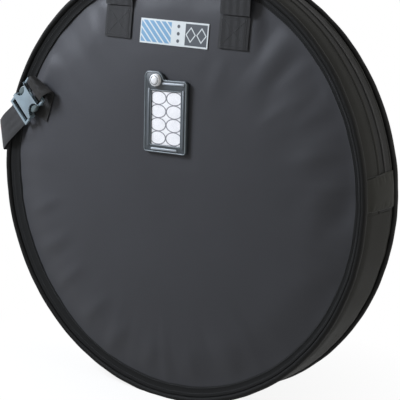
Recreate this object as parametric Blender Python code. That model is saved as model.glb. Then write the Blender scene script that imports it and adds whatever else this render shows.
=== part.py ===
"""A round padded cymbal bag that stands on its rim, front panel towards -Y.

The bag is a padded front panel and a padded rear panel, each edged with piping, joined by a
gusset. The upper half of the gusset is split by a zip, so that the upper half of the front panel
folds forward as a lid. Two webbing handles, a woven label, a tag with a card, a side strap with a
side-release buckle and two padded dividers complete it. Lengths are in metres, angles in degrees.
The disc's axis lies along Y, and the bag stands on a small flat at z = 0.
"""

import bmesh
import bpy
from math import asin, ceil, cos, degrees, floor, hypot, pi, radians, sin, sqrt
from mathutils import Matrix, Vector

# Overall size
OUTER_RADIUS = 0.330
BASE_FLAT_WIDTH = 0.084
PIPING_SPACING = 0.090
GAP = 0.0003
ARC_STEP = 7.5
BASE_FLAT_STEP_SHARE = 0.6
ARC_MERGE_SHARE = 0.1

# Piping
PIPING_RADIUS = 0.0045
PIPING_SIDES = 8

# Panels
COVER_THICKNESS = 0.0015
LINING_THICKNESS = 0.0012
PANEL_TO_PIPING = 0.0005
PANEL_EDGE_BEHIND_PIPING = 0.0005
FRONT_CROWN = 0.0125
REAR_CROWN = 0.0055
PADDING_EDGE_THICKNESS = 0.0035
FRONT_RING_SHARES = (0.35, 0.62, 0.82, 0.94, 1.0)
REAR_RING_SHARES = (0.58, 0.74, 0.88, 0.95, 1.0)
FRONT_CROWN_POWER = 3.0
REAR_FLAT_SHARE = 0.58

# Gusset, outer cover with its backing, foam and lining
GUSSET_RISE = 0.0015
GUSSET_SHOULDER_DROP = 0.0009
GUSSET_EDGE_DROP = 0.0035
GUSSET_SHOULDER_SHARE = 0.825
GUSSET_CROWN_SHARE = 0.5
GUSSET_COVER_THICKNESS = 0.0025
GUSSET_FOAM_THICKNESS = 0.0072
GUSSET_TO_PIPING = 0.0005

# Lid, the part of the front that the zip frees
LID_CHORD_ABOVE_CENTRE = 0.005

# Zip
ZIP_CENTRE = 0.0135
ZIP_TAPE_WIDTH = 0.0165
ZIP_TAPE_THICKNESS = 0.0012
ZIP_TAPE_RECESS = 0.0010
TEETH_HALF_WIDTH = 0.0022
TEETH_HEIGHT = 0.0014
SLIDER_LENGTH = 0.0150
SLIDER_WIDTH = 0.0110
SLIDER_THICKNESS = 0.0022
SLIDER_SPACING = 0.0012
BRIDGE_HEIGHT = 0.0046
BRIDGE_WIDTH = 0.0034
BRIDGE_LENGTH = 0.0090
BRIDGE_HOLE = 0.0022
BRIDGE_BAR = 0.0014
PULL_LENGTH = 0.0300
PULL_WIDTH = 0.0085
PULL_THICKNESS = 0.0012
PULL_EYE_LENGTH = 0.0062
PULL_EYE_WIDTH = 0.0048

# Fabric patches that close the zip's two ends
END_PATCH_LOW = 0.0085
END_PATCH_HIGH = 0.0600
END_PATCH_HALF_WIDTH = 0.0350
END_PATCH_THICKNESS = 0.0011

# Handles
WEBBING_WIDTH = 0.050
WEBBING_THICKNESS = 0.0022
HANDLE_HALF_SPACING = 0.1036
HANDLE_PATCH_LENGTH = 0.0470
HANDLE_PATCH_TOP_DROP = 0.0720
HANDLE_RISE_OVER_RIM = 0.0850
HANDLE_LEG_SLOPE = 0.0010
HANDLE_TOP_DEPTH = 0.0320
HANDLE_CORNER_SHARE = 0.62
HANDLE_BEND_STEPS = 8
HANDLE_END_GAP = 0.00015
HANDLE_AXIS_ABOVE_PATCH = 0.0005

# Label
LABEL_WIDTH = 0.123
LABEL_HEIGHT = 0.036
LABEL_THICKNESS = 0.0009
LABEL_DROP = 0.105

# Tag
TAG_WIDTH = 0.077
TAG_HEIGHT = 0.112
TAG_THICKNESS = 0.0045
TAG_CENTRE_DROP = 0.2270
TAG_OFFSET = 0.0025
TAG_CORNER_RADIUS = 0.0050
TAG_LOBE_RADIUS = 0.0138
TAG_LOBE_BELOW_TOP = 0.0013
TAG_LOBE_INSET = 0.0045
TAG_LOBE_FILLET = 0.0040
TAG_LOBE_CORNER = 0.0080
TAG_SEAT_GAP = 0.0004
TAG_TILT = 2.0
WINDOW_WIDTH = 0.0530
WINDOW_HEIGHT = 0.0790
WINDOW_OFFSET = 0.0010
WINDOW_DROP = 0.0020
WINDOW_THICKNESS = 0.0008
CARD_THICKNESS = 0.0006
BUTTON_RADIUS = 0.0095
BUTTON_HEIGHT = 0.0024
ROUND_STEPS = 6

# Side strap and its buckle
STRAP_WIDTH = 0.0390
STRAP_THICKNESS = 0.0016
BUCKLE_INSET = 0.0393
BUCKLE_PLACE_ANGLE = 160.7
BUCKLE_AXIS_ANGLE = -135.6
BUCKLE_TILT = 9.0
BUCKLE_STAND_OFF = 0.0110
BUCKLE_WIDTH = 0.0480
BUCKLE_THICKNESS = 0.0110
BUCKLE_BEVEL = 0.0014
BAR_TO_BAR = 0.0592
BAR_LENGTHWISE = 0.0040
BAR_PLATE_THICKNESS = 0.0044
SLOT_LENGTHWISE = 0.0056
SLOT_SIDE_CLEARANCE = 0.0010
SOCKET_PLATE_LENGTH = 0.0120
MOUTH_GAP = 0.0016
PLUG_SHOULDER_LENGTH = 0.0045
CAVITY_DEPTH = 0.0300
CAVITY_SIDE_WALL = 0.0028
CAVITY_FACE_WALL = 0.0020
CUT_OUT_RADIUS = 0.0090
CUT_OUT_FROM_CENTRE = -0.0050
PRONG_THICKNESS = 0.0052
PRONG_WIDTH = 0.0045
PRONG_INSET = 0.0075
PRONG_HEAD_LENGTH = 0.0110
PRONG_BUTTON_RECESS = 0.0030
OVERCUT = 0.0020

# The strap's way from the seam behind the piping to the plug
STRAP_LOW_ABOVE_CHORD = 0.0045
STRAP_RIM_SPAN = 0.0470
STRAP_ROOT_BEHIND_PIPING = 0.0041
STRAP_ROOT_OUT = 0.0012
STRAP_FOLD_OUT_LOW = 0.0038
STRAP_FOLD_OUT_HIGH = 0.0160
STRAP_FOLD_FORWARD = 0.0028
STRAP_FRONT_STAND_OFF = 0.0100
STRAP_RUN_SHARES = (0.14, 0.5)
STRAP_FORWARD_SHARES = (0.62, 1.0)
STRAP_LEAD = 0.0110
WRAP_STEPS = 4
TAIL_LENGTH = 0.0070

# The tab that holds the socket, sewn to the front panel and folded over
TAB_END_FROM_CENTRE_X = 0.0345
TAB_END_FROM_CENTRE_Z = 0.0295
TAB_ANGLE = 72.4
TAB_SEWN_LENGTH = 0.0440
TAB_FOLD_INNER = 0.0520
TAB_FOLD_OUTER = 0.0580
TAB_FOLD_FORWARD = 0.0080

# Padded dividers inside
DIVIDER_TOP_GAP = 0.0334
DIVIDER_THICKNESS = 0.0050
DIVIDER_PLACE = 0.0126
DIVIDER_FOOT_GAP = 0.0006

# Colours, roughness and metallic value
PANEL_NYLON = ((0.072, 0.078, 0.090, 1.0), 0.55, 0.0)
GUSSET_NYLON = ((0.040, 0.040, 0.042, 1.0), 0.60, 0.0)
PIPING_NYLON = ((0.028, 0.028, 0.030, 1.0), 0.60, 0.0)
FOAM = ((0.30, 0.30, 0.31, 1.0), 0.90, 0.0)
LINING = ((0.060, 0.060, 0.064, 1.0), 0.75, 0.0)
WEBBING = ((0.030, 0.030, 0.030, 1.0), 0.75, 0.0)
TAPE = ((0.020, 0.020, 0.021, 1.0), 0.75, 0.0)
TEETH = ((0.032, 0.032, 0.033, 1.0), 0.45, 0.0)
ZIP_METAL = ((0.10, 0.10, 0.11, 1.0), 0.35, 1.0)
LABEL_CLOTH = ((0.42, 0.55, 0.66, 1.0), 0.80, 0.0)
TAG_RUBBER = ((0.10, 0.11, 0.12, 1.0), 0.55, 0.0)
CARD_STOCK = ((0.85, 0.86, 0.87, 1.0), 0.60, 0.0)
CLEAR_SHEET = ((0.90, 0.92, 0.94, 0.35), 0.15, 0.0)
WHITE_PLASTIC = ((0.78, 0.80, 0.80, 1.0), 0.40, 0.0)
BUCKLE_PLASTIC = ((0.12, 0.14, 0.15, 1.0), 0.30, 0.0)

# Worked out from the sizes above
CENTRE_HEIGHT = sqrt(OUTER_RADIUS ** 2 - (BASE_FLAT_WIDTH / 2) ** 2)
PIPING_PLACE = PIPING_SPACING / 2
PIPING_RING_RADIUS = OUTER_RADIUS - PIPING_RADIUS
PANEL_RADIUS = PIPING_RING_RADIUS - PIPING_RADIUS - PANEL_TO_PIPING
PANEL_EDGE = PIPING_PLACE - PANEL_EDGE_BEHIND_PIPING
GUSSET_HALF_WIDTH = PIPING_PLACE - PIPING_RADIUS - GUSSET_TO_PIPING
GUSSET_RADIUS = OUTER_RADIUS - GUSSET_RISE
FOAM_INNER_FACE = PANEL_EDGE - COVER_THICKNESS - GAP - PADDING_EDGE_THICKNESS
LINING_OUTER_FACE = FOAM_INNER_FACE - GAP
LINING_INNER_FACE = LINING_OUTER_FACE - LINING_THICKNESS
GUSSET_PADDING_EDGE = LINING_INNER_FACE - GAP
GUSSET_FOAM_OUTER = GUSSET_RADIUS - GUSSET_COVER_THICKNESS - GAP
GUSSET_FOAM_INNER = GUSSET_FOAM_OUTER - GUSSET_FOAM_THICKNESS
GUSSET_LINING_OUTER = GUSSET_FOAM_INNER - GAP
GUSSET_LINING_INNER = GUSSET_LINING_OUTER - LINING_THICKNESS
CHORD_HEIGHT = CENTRE_HEIGHT + LID_CHORD_ABOVE_CENTRE
CHORD_ANGLE = degrees(asin(LID_CHORD_ABOVE_CENTRE / GUSSET_RADIUS))
HALF_GAP_ANGLE = degrees(GAP / 2 / GUSSET_LINING_INNER)
TAPE_FRONT_EDGE = ZIP_CENTRE - ZIP_TAPE_WIDTH
TAPE_REAR_EDGE = ZIP_CENTRE + ZIP_TAPE_WIDTH
TAPE_OUTER = GUSSET_RADIUS - ZIP_TAPE_RECESS
TEETH_INNER = TAPE_OUTER + GAP
TEETH_OUTER = TEETH_INNER + TEETH_HEIGHT
END_PATCH_INNER = GUSSET_RADIUS + GAP
TEETH_END_ANGLE = degrees(asin((END_PATCH_HIGH + GAP * 2) / OUTER_RADIUS))
HANDLE_PATCH_TOP = OUTER_RADIUS - HANDLE_PATCH_TOP_DROP
BAR_PLACE = BAR_TO_BAR / 2
DIVIDER_RADIUS = GUSSET_LINING_INNER - (DIVIDER_FOOT_GAP + DIVIDER_TOP_GAP) / 2
WRAP_CLEAR_RADIUS = hypot(BAR_LENGTHWISE / 2, BAR_PLATE_THICKNESS / 2) + GAP + STRAP_THICKNESS / 2
WRAP_RADIUS = WRAP_CLEAR_RADIUS / cos(pi / 2 / WRAP_STEPS)


def material(name, finish):
    """A Principled material with one colour, roughness and metallic value."""
    colour, roughness, metallic = finish
    made = bpy.data.materials.new(name)
    made.use_nodes = True
    shader = made.node_tree.nodes["Principled BSDF"]
    shader.inputs["Base Color"].default_value = colour
    shader.inputs["Roughness"].default_value = roughness
    shader.inputs["Metallic"].default_value = metallic
    made.diffuse_color = colour
    return made


def finish_object(name, bm, finish, parent=None, smooth=True):
    """Makes an object of the mesh, with its material, and hangs it on its pivot."""
    bmesh.ops.recalc_face_normals(bm, faces=bm.faces)
    mesh = bpy.data.meshes.new(name)
    bm.to_mesh(mesh)
    bm.free()
    if smooth:
        mesh.shade_smooth()
        mesh.set_sharp_from_angle(angle=radians(35))
    made = bpy.data.objects.new(name, mesh)
    bpy.context.scene.collection.objects.link(made)
    mesh.materials.append(material(name, finish))
    if parent is not None:
        made.parent = parent
        made.matrix_parent_inverse = parent.matrix_world.inverted()
    return made


def pivot(name, place, parent=None):
    """An empty at a point of a joint's axis, which the joint's pieces hang on."""
    made = bpy.data.objects.new(name, None)
    bpy.context.scene.collection.objects.link(made)
    made.matrix_basis = Matrix.Translation(place)
    if parent is not None:
        made.parent = parent
        made.matrix_parent_inverse = parent.matrix_world.inverted()
    bpy.context.view_layer.update()
    return made


def loft(rings, closed=False):
    """Joins closed loops of equal length one after the other, and caps the two ends."""
    bm = bmesh.new()
    rows = [[bm.verts.new(point) for point in ring] for ring in rings]
    count = len(rows[0])
    pairs = list(zip(rows[:-1], rows[1:]))
    if closed:
        pairs.append((rows[-1], rows[0]))
    for first, second in pairs:
        for i in range(count):
            j = (i + 1) % count
            bm.faces.new((first[i], first[j], second[j], second[i]))
    if not closed:
        bm.faces.new(rows[0])
        bm.faces.new(rows[-1])
    return bm


def on_rim(radius, angle, y):
    """The point at a radius and an angle round the disc's axis, never under the floor."""
    turn = radians(angle)
    height = CENTRE_HEIGHT + radius * sin(turn)
    return Vector((radius * cos(turn), y, max(height, 0.0)))


def arc_angles(start, end):
    """The angles of an arc's sections: its ends, the regular steps and the base flat's corners."""
    inner = [ARC_STEP * i for i in range(ceil(start / ARC_STEP), floor(end / ARC_STEP) + 1)]
    for turn in (270.0, -90.0):
        for side in (-1, 1):
            inner.append(turn + side * ARC_STEP * BASE_FLAT_STEP_SHARE)
    margin = ARC_STEP * ARC_MERGE_SHARE
    inner = sorted(a for a in inner if start + margin < a < end - margin)
    return [start] + inner + [end]


def arc_solid(profile, start, end):
    """Turns a profile of (radius, y) points about the disc's axis from one angle to another."""
    return loft([[on_rim(r, a, y) for r, y in profile] for a in arc_angles(start, end)])


def ring_solid(profile):
    """Turns a profile of (radius, y) points all the way round."""
    angles = arc_angles(0.0, 360.0)[:-1]
    return loft([[on_rim(r, a, y) for r, y in profile] for a in angles], closed=True)


def circle_profile(radius, y, tube, sides):
    """A tube's section: a polygon round the point at this radius and depth."""
    turns = [2 * pi * i / sides for i in range(sides)]
    return [(radius + tube * cos(t), y + tube * sin(t)) for t in turns]


def front_depth(radius):
    """How far the front panel's face stands in front of the disc's middle plane."""
    share = min(radius / PANEL_RADIUS, 1.0)
    return PANEL_EDGE + FRONT_CROWN * (1 - share ** FRONT_CROWN_POWER)


def rear_depth(radius):
    """How far the rear panel's face stands behind the middle plane: flat, with a soft edge."""
    share = min(radius / PANEL_RADIUS, 1.0)
    fall = max(0.0, (share - REAR_FLAT_SHARE) / (1 - REAR_FLAT_SHARE))
    return PANEL_EDGE + REAR_CROWN * (1 - fall ** 2)


def panel_loop(radius, y):
    """One loop of a panel, at the same angles as the rim."""
    return [on_rim(radius, a, y) for a in arc_angles(0.0, 360.0)[:-1]]


def panel_layers(side, depth, shares):
    """The cover, foam and lining of a panel as whole discs; side is -1 at the front, 1 behind."""
    radii = [share * PANEL_RADIUS for share in shares]
    foam_radii = [share * (PANEL_RADIUS - GAP) for share in shares]
    skin = COVER_THICKNESS + GAP
    cover = [panel_loop(r, side * (depth(r) - COVER_THICKNESS)) for r in radii]
    cover += [panel_loop(r, side * depth(r)) for r in reversed(radii)]
    foam = [panel_loop(foam_radii[-1], side * FOAM_INNER_FACE)]
    foam += [panel_loop(r, side * (depth(r) - skin)) for r in reversed(foam_radii)]
    lining = [panel_loop(foam_radii[-1], side * y) for y in (LINING_INNER_FACE, LINING_OUTER_FACE)]
    return {"cover": loft(cover), "foam": loft(foam), "lining": loft(lining)}


def keep_side(bm, height, above):
    """Cuts a solid at a height and keeps what lies above or below it, closed again."""
    bmesh.ops.bisect_plane(bm, geom=bm.verts[:] + bm.edges[:] + bm.faces[:], plane_co=(0, 0, height),
                           plane_no=(0, 0, 1), clear_inner=above, clear_outer=not above)
    edges = [edge for edge in bm.edges if edge.is_boundary]
    bmesh.ops.holes_fill(bm, edges=edges, sides=0)
    return bm


def box(low, high, place=Matrix.Identity(4)):
    """A box between two corners, moved by a matrix."""
    (x0, y0, z0), (x1, y1, z1) = low, high
    lower = [(x0, y0, z0), (x1, y0, z0), (x1, y1, z0), (x0, y1, z0)]
    upper = [(x, y, z1) for x, y, _ in lower]
    return loft([[place @ Vector(p) for p in ring] for ring in (lower, upper)])


def plate(outline, low, high, place=Matrix.Identity(4)):
    """An outline of (x, y) points raised from one level to another, moved by a matrix."""
    return loft([[place @ Vector((x, y, level)) for x, y in outline] for level in (low, high)])


def bevel_edges(bm, width, segments=2):
    """Rounds the sharp edges of a small solid."""
    edges = [e for e in bm.edges if len(e.link_faces) == 2 and e.calc_face_angle() > radians(50)]
    bmesh.ops.bevel(bm, geom=edges, offset=width, segments=segments, affect="EDGES", profile=0.5)
    return bm


def cutter(name, bm):
    """A solid that only shapes another one, hidden from the model."""
    made = finish_object(name, bm, BUCKLE_PLASTIC, smooth=False)
    made.hide_render = True
    made.display_type = "WIRE"
    return made


def boolean(target, tool, operation="DIFFERENCE"):
    """Adds a Boolean modifier that cuts the tool out of the target or joins it on."""
    step = target.modifiers.new(tool.name, "BOOLEAN")
    step.operation = operation
    step.solver = "EXACT"
    step.object = tool


def ribbon(sections, thickness):
    """A strip of webbing through pairs of edge points, with an even thickness."""
    middles = [(a + b) / 2 for a, b in sections]
    rings = []
    for i, (left, right) in enumerate(sections):
        along = middles[min(i + 1, len(middles) - 1)] - middles[max(i - 1, 0)]
        normal = along.cross(right - left).normalized() * (thickness / 2)
        rings.append([left + normal, right + normal, right - normal, left - normal])
    bm = loft(rings)
    bmesh.ops.triangulate(bm, faces=bm.faces, quad_method="SHORT_EDGE")
    return bm


def draped(x_low, x_high, z_low, z_high, thickness, depth, side, columns, rows):
    """A flat patch that lies on a panel's crown; z is counted from the disc's centre."""
    rings = []
    for i in range(rows + 1):
        z = z_low + (z_high - z_low) * i / rows
        xs = [x_low + (x_high - x_low) * j / columns for j in range(columns + 1)]
        under = [Vector((x, side * (depth(hypot(x, z)) + GAP), z + CENTRE_HEIGHT)) for x in xs]
        over = [p + Vector((0, side * thickness, 0)) for p in reversed(under)]
        rings.append(under + over)
    return loft(rings)


def rounded_corner(centre_x, centre_z, radius, start, end):
    """The points of a rounded corner of an outline."""
    turns = [radians(start + (end - start) * i / ROUND_STEPS) for i in range(ROUND_STEPS + 1)]
    return [(centre_x + radius * cos(t), centre_z + radius * sin(t)) for t in turns]


def build_panels(lid, shell):
    """Front and rear panels; the front one is split at the lid's chord."""
    finishes = {"cover": PANEL_NYLON, "foam": FOAM, "lining": LINING}
    for layer, bm in panel_layers(-1, front_depth, FRONT_RING_SHARES).items():
        upper = keep_side(bm.copy(), CHORD_HEIGHT + GAP / 2, True)
        lower = keep_side(bm, CHORD_HEIGHT - GAP / 2, False)
        finish_object("front_panel_upper_" + layer, upper, finishes[layer], lid)
        finish_object("front_panel_lower_" + layer, lower, finishes[layer], shell)
    for layer, bm in panel_layers(1, rear_depth, REAR_RING_SHARES).items():
        finish_object("rear_panel_" + layer, bm, finishes[layer], shell)


def gusset_outline(y):
    """The radius of the gusset's outer face at a depth: a soft crown between the pipings."""
    share = abs(y) / GUSSET_HALF_WIDTH
    if share <= GUSSET_CROWN_SHARE:
        return GUSSET_RADIUS
    if share <= GUSSET_SHOULDER_SHARE:
        part = (share - GUSSET_CROWN_SHARE) / (GUSSET_SHOULDER_SHARE - GUSSET_CROWN_SHARE)
        return GUSSET_RADIUS - GUSSET_SHOULDER_DROP * part
    part = (share - GUSSET_SHOULDER_SHARE) / (1 - GUSSET_SHOULDER_SHARE)
    return GUSSET_RADIUS - GUSSET_SHOULDER_DROP - (GUSSET_EDGE_DROP - GUSSET_SHOULDER_DROP) * part


def gusset_stations(low, high):
    """The depths at which a strip of gusset has a point: its edges and the crown's corners."""
    shares = (GUSSET_CROWN_SHARE, GUSSET_SHOULDER_SHARE)
    corners = [side * share * GUSSET_HALF_WIDTH for side in (-1, 1) for share in shares]
    return sorted([low, high] + [y for y in corners if low + GAP < y < high - GAP])


def cover_profile(low, high):
    """The section of a strip of gusset cover between two depths."""
    stations = gusset_stations(low, high)
    outer = [(gusset_outline(y), y) for y in stations]
    inner = [(gusset_outline(y) - GUSSET_COVER_THICKNESS, y) for y in reversed(stations)]
    return outer + inner


def foam_profile(low, high):
    """The section of the foam under the cover."""
    skin = GUSSET_COVER_THICKNESS + GAP
    outer = [(gusset_outline(y) - skin, y) for y in gusset_stations(low, high)]
    return outer + [(GUSSET_FOAM_INNER, high), (GUSSET_FOAM_INNER, low)]


def strip_profile(inner, outer, low, high):
    """A plain rectangular section."""
    return [(outer, low), (outer, high), (inner, high), (inner, low)]


def build_gussets(lid, shell):
    """The gusset's lower half, and its upper half split into a front and a rear strip."""
    low_start = 180.0 - CHORD_ANGLE + HALF_GAP_ANGLE
    low_end = 360.0 + CHORD_ANGLE - HALF_GAP_ANGLE
    top_start = CHORD_ANGLE + HALF_GAP_ANGLE
    top_end = 180.0 - top_start
    edge = GUSSET_PADDING_EDGE
    front_cut = ZIP_CENTRE - GAP / 2
    rear_cut = ZIP_CENTRE + GAP / 2
    lining = (GUSSET_LINING_INNER, GUSSET_LINING_OUTER)
    parts = (
        ("gusset_lower", shell, low_start, low_end, -GUSSET_HALF_WIDTH, GUSSET_HALF_WIDTH, -edge, edge),
        ("gusset_upper_front", lid, top_start, top_end, -GUSSET_HALF_WIDTH, TAPE_FRONT_EDGE - GAP,
         -edge, front_cut),
        ("gusset_upper_rear", shell, top_start, top_end, TAPE_REAR_EDGE + GAP, GUSSET_HALF_WIDTH,
         rear_cut, edge),
    )
    for name, body, start, end, low, high, pad_low, pad_high in parts:
        cover = arc_solid(cover_profile(low, high), start, end)
        foam = arc_solid(foam_profile(pad_low, pad_high), start, end)
        inside = arc_solid(strip_profile(*lining, pad_low, pad_high), start, end)
        finish_object(name + "_cover", cover, GUSSET_NYLON, body)
        finish_object(name + "_foam", foam, FOAM, body)
        finish_object(name + "_lining", inside, LINING, body)


def build_pipings(lid, shell):
    """Piping round both edges; the front one is split where the lid folds."""
    front = circle_profile(PIPING_RING_RADIUS, -PIPING_PLACE, PIPING_RADIUS, PIPING_SIDES)
    rear = circle_profile(PIPING_RING_RADIUS, PIPING_PLACE, PIPING_RADIUS, PIPING_SIDES)
    start = CHORD_ANGLE + HALF_GAP_ANGLE
    low = CHORD_ANGLE - HALF_GAP_ANGLE
    finish_object("piping_front_upper", arc_solid(front, start, 180.0 - start), PIPING_NYLON, lid)
    finish_object("piping_front_lower", arc_solid(front, 180.0 - low, 360.0 + low), PIPING_NYLON, shell)
    finish_object("piping_rear", ring_solid(rear), PIPING_NYLON, shell)


def build_zip(lid, shell):
    """The zip's two tapes and rows of teeth, its end patches, sliders and pull tabs."""
    start = CHORD_ANGLE + HALF_GAP_ANGLE
    tape_inner = TAPE_OUTER - ZIP_TAPE_THICKNESS
    teeth_inner = ZIP_CENTRE - TEETH_HALF_WIDTH
    halves = (
        ("front", lid, TAPE_FRONT_EDGE, ZIP_CENTRE - GAP / 2, teeth_inner, ZIP_CENTRE - GAP / 2),
        ("rear", shell, ZIP_CENTRE + GAP / 2, TAPE_REAR_EDGE, ZIP_CENTRE + GAP / 2,
         ZIP_CENTRE + TEETH_HALF_WIDTH),
    )
    for side, body, tape_low, tape_high, low, high in halves:
        tape = arc_solid(strip_profile(tape_inner, TAPE_OUTER, tape_low, tape_high), start, 180.0 - start)
        teeth = arc_solid(strip_profile(TEETH_INNER, TEETH_OUTER, low, high), TEETH_END_ANGLE,
                          180.0 - TEETH_END_ANGLE)
        finish_object("zip_tape_" + side, tape, TAPE, body)
        finish_object("zip_teeth_" + side, teeth, TEETH, body)
    low_angle = degrees(asin(END_PATCH_LOW / END_PATCH_INNER))
    high_angle = degrees(asin(END_PATCH_HIGH / END_PATCH_INNER))
    patch = strip_profile(END_PATCH_INNER, END_PATCH_INNER + END_PATCH_THICKNESS, -END_PATCH_HALF_WIDTH,
                          END_PATCH_HALF_WIDTH)
    finish_object("zip_end_patch_right", arc_solid(patch, low_angle, high_angle), GUSSET_NYLON, lid)
    finish_object("zip_end_patch_left", arc_solid(patch, 180.0 - high_angle, 180.0 - low_angle),
                  GUSSET_NYLON, lid)
    centre = Vector((0, 0, CENTRE_HEIGHT))
    for side, name in ((1, "right"), (-1, "left")):
        build_slider(side, name, pivot("zip_slider_axis_" + name, centre, lid))


def build_slider(side, name, arc_pivot):
    """One slider beside the top of the zip, with a bridge that holds its pull tab."""
    offset = degrees((SLIDER_SPACING + SLIDER_LENGTH) / 2 / TEETH_OUTER)
    turn = Matrix.Rotation(radians(side * offset), 4, "Y")
    place = Matrix.Translation((0, ZIP_CENTRE, CENTRE_HEIGHT)) @ turn
    seat = TEETH_OUTER + GAP
    top = seat + SLIDER_THICKNESS
    half = SLIDER_LENGTH / 2
    wide = SLIDER_WIDTH / 2
    body = box((-half, -wide, seat), (half, wide, top), place)
    slider = finish_object("zip_slider_" + name, body, ZIP_METAL, arc_pivot)
    reach = BRIDGE_LENGTH / 2
    thin = BRIDGE_WIDTH / 2
    bridge = box((-reach, -thin, top - BRIDGE_BAR / 2), (reach, thin, top + BRIDGE_HEIGHT), place)
    boolean(slider, cutter("bridge_block_" + name, bridge), "UNION")
    hole_half = reach - BRIDGE_BAR
    hole = box((-hole_half, -wide, top), (hole_half, wide, top + BRIDGE_HOLE), place)
    boolean(slider, cutter("bridge_hole_" + name, hole))
    axis_height = top + BRIDGE_HOLE / 2
    axis_x = side * (hole_half - PULL_THICKNESS / 2 - GAP)
    hinge = place @ Vector((axis_x, 0, axis_height))
    tab_pivot = pivot("zip_pull_axis_" + name, hinge, arc_pivot)
    low = axis_height - PULL_THICKNESS / 2
    high = axis_height + PULL_THICKNESS / 2
    root = axis_x - side * PULL_THICKNESS / 2
    spans = sorted((root, root + side * PULL_LENGTH))
    pull = box((spans[0], -PULL_WIDTH / 2, low), (spans[1], PULL_WIDTH / 2, high), place)
    tab = finish_object("zip_pull_" + name, pull, ZIP_METAL, tab_pivot)
    eye = sorted((root + side * PULL_THICKNESS, root + side * (PULL_THICKNESS + PULL_EYE_LENGTH)))
    window = box((eye[0], -PULL_EYE_WIDTH / 2, low - OVERCUT), (eye[1], PULL_EYE_WIDTH / 2, high + OVERCUT),
                 place)
    boolean(tab, cutter("pull_eye_" + name, window))


def handle_sections(side, depth):
    """Edge points of one handle's webbing, from its left foot over the top to its right foot."""
    foot = HANDLE_PATCH_TOP + HANDLE_AXIS_ABOVE_PATCH + HANDLE_END_GAP
    foot_depth = handle_axis_depth(depth)
    leg_top = OUTER_RADIUS
    top = OUTER_RADIUS + HANDLE_RISE_OVER_RIM
    corner_z = top - leg_top
    corner_x = HANDLE_HALF_SPACING * HANDLE_CORNER_SHARE
    half = WEBBING_WIDTH / 2
    sections = []
    heights = ((foot, foot_depth), ((foot + leg_top) / 2, foot_depth + HANDLE_LEG_SLOPE / 2))
    for z, y in heights:
        sections.append((Vector((-HANDLE_HALF_SPACING, side * y, z)), Vector((half, 0, 0))))
    for i in range(HANDLE_BEND_STEPS + 1):
        share = i / HANDLE_BEND_STEPS
        turn = radians(90 * share)
        x = -HANDLE_HALF_SPACING + corner_x * (1 - cos(turn))
        z = leg_top + corner_z * sin(turn)
        lean = share * share * (3 - 2 * share)
        y = (foot_depth + HANDLE_LEG_SLOPE) * (1 - lean) + HANDLE_TOP_DEPTH * lean
        along = Vector((corner_x * sin(turn), 0, corner_z * cos(turn))).normalized()
        across = Vector((along.z, 0, -along.x))
        wide = (across * cos(turn) + Vector((0, -side, 0)) * sin(turn)) * half
        sections.append((Vector((x, side * y, z)), wide))
    mirrored = []
    for middle, wide in reversed(sections):
        mirrored.append((Vector((-middle.x, middle.y, middle.z)), Vector((-wide.x, wide.y, wide.z))))
    lift = Vector((0, 0, CENTRE_HEIGHT))
    return [(m - w + lift, m + w + lift) for m, w in sections + mirrored]


def handle_axis_depth(depth):
    """The depth of the line that a handle folds on, clear of its patch and of the piping."""
    patch_face = depth(hypot(HANDLE_HALF_SPACING, HANDLE_PATCH_TOP)) + GAP + WEBBING_THICKNESS
    piping_face = PIPING_PLACE + PIPING_RADIUS + GAP
    return max(patch_face + WEBBING_THICKNESS / 2 + GAP * 2, piping_face + WEBBING_THICKNESS)


def build_handles(lid, shell):
    """Front and rear handles with the box-stitched patches that their ends make."""
    for face, side, depth, body in (("front", -1, front_depth, lid), ("rear", 1, rear_depth, shell)):
        for end, x in (("left", -HANDLE_HALF_SPACING), ("right", HANDLE_HALF_SPACING)):
            bm = draped(x - WEBBING_WIDTH / 2, x + WEBBING_WIDTH / 2, HANDLE_PATCH_TOP - HANDLE_PATCH_LENGTH,
                        HANDLE_PATCH_TOP, WEBBING_THICKNESS, depth, side, 3, 3)
            finish_object(f"{face}_handle_patch_{end}", bm, WEBBING, body)
        axis = Vector((0, side * handle_axis_depth(depth),
                       CENTRE_HEIGHT + HANDLE_PATCH_TOP + HANDLE_AXIS_ABOVE_PATCH))
        hinge = pivot(f"{face}_handle_axis", axis, body)
        bm = ribbon(handle_sections(side, depth), WEBBING_THICKNESS)
        finish_object(f"{face}_handle", bm, WEBBING, hinge)


def build_label(lid):
    """The woven label between the front handle's patches."""
    middle = OUTER_RADIUS - LABEL_DROP
    bm = draped(-LABEL_WIDTH / 2, LABEL_WIDTH / 2, middle - LABEL_HEIGHT / 2, middle + LABEL_HEIGHT / 2,
                LABEL_THICKNESS, front_depth, -1, 6, 2)
    finish_object("woven_label", bm, LABEL_CLOTH, lid)


def tag_lobe():
    """The middle of the round lobe that carries the button, from the tag's own middle."""
    place_x = TAG_LOBE_INSET + TAG_LOBE_RADIUS - TAG_WIDTH / 2
    return place_x, TAG_HEIGHT / 2 - TAG_LOBE_BELOW_TOP


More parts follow.
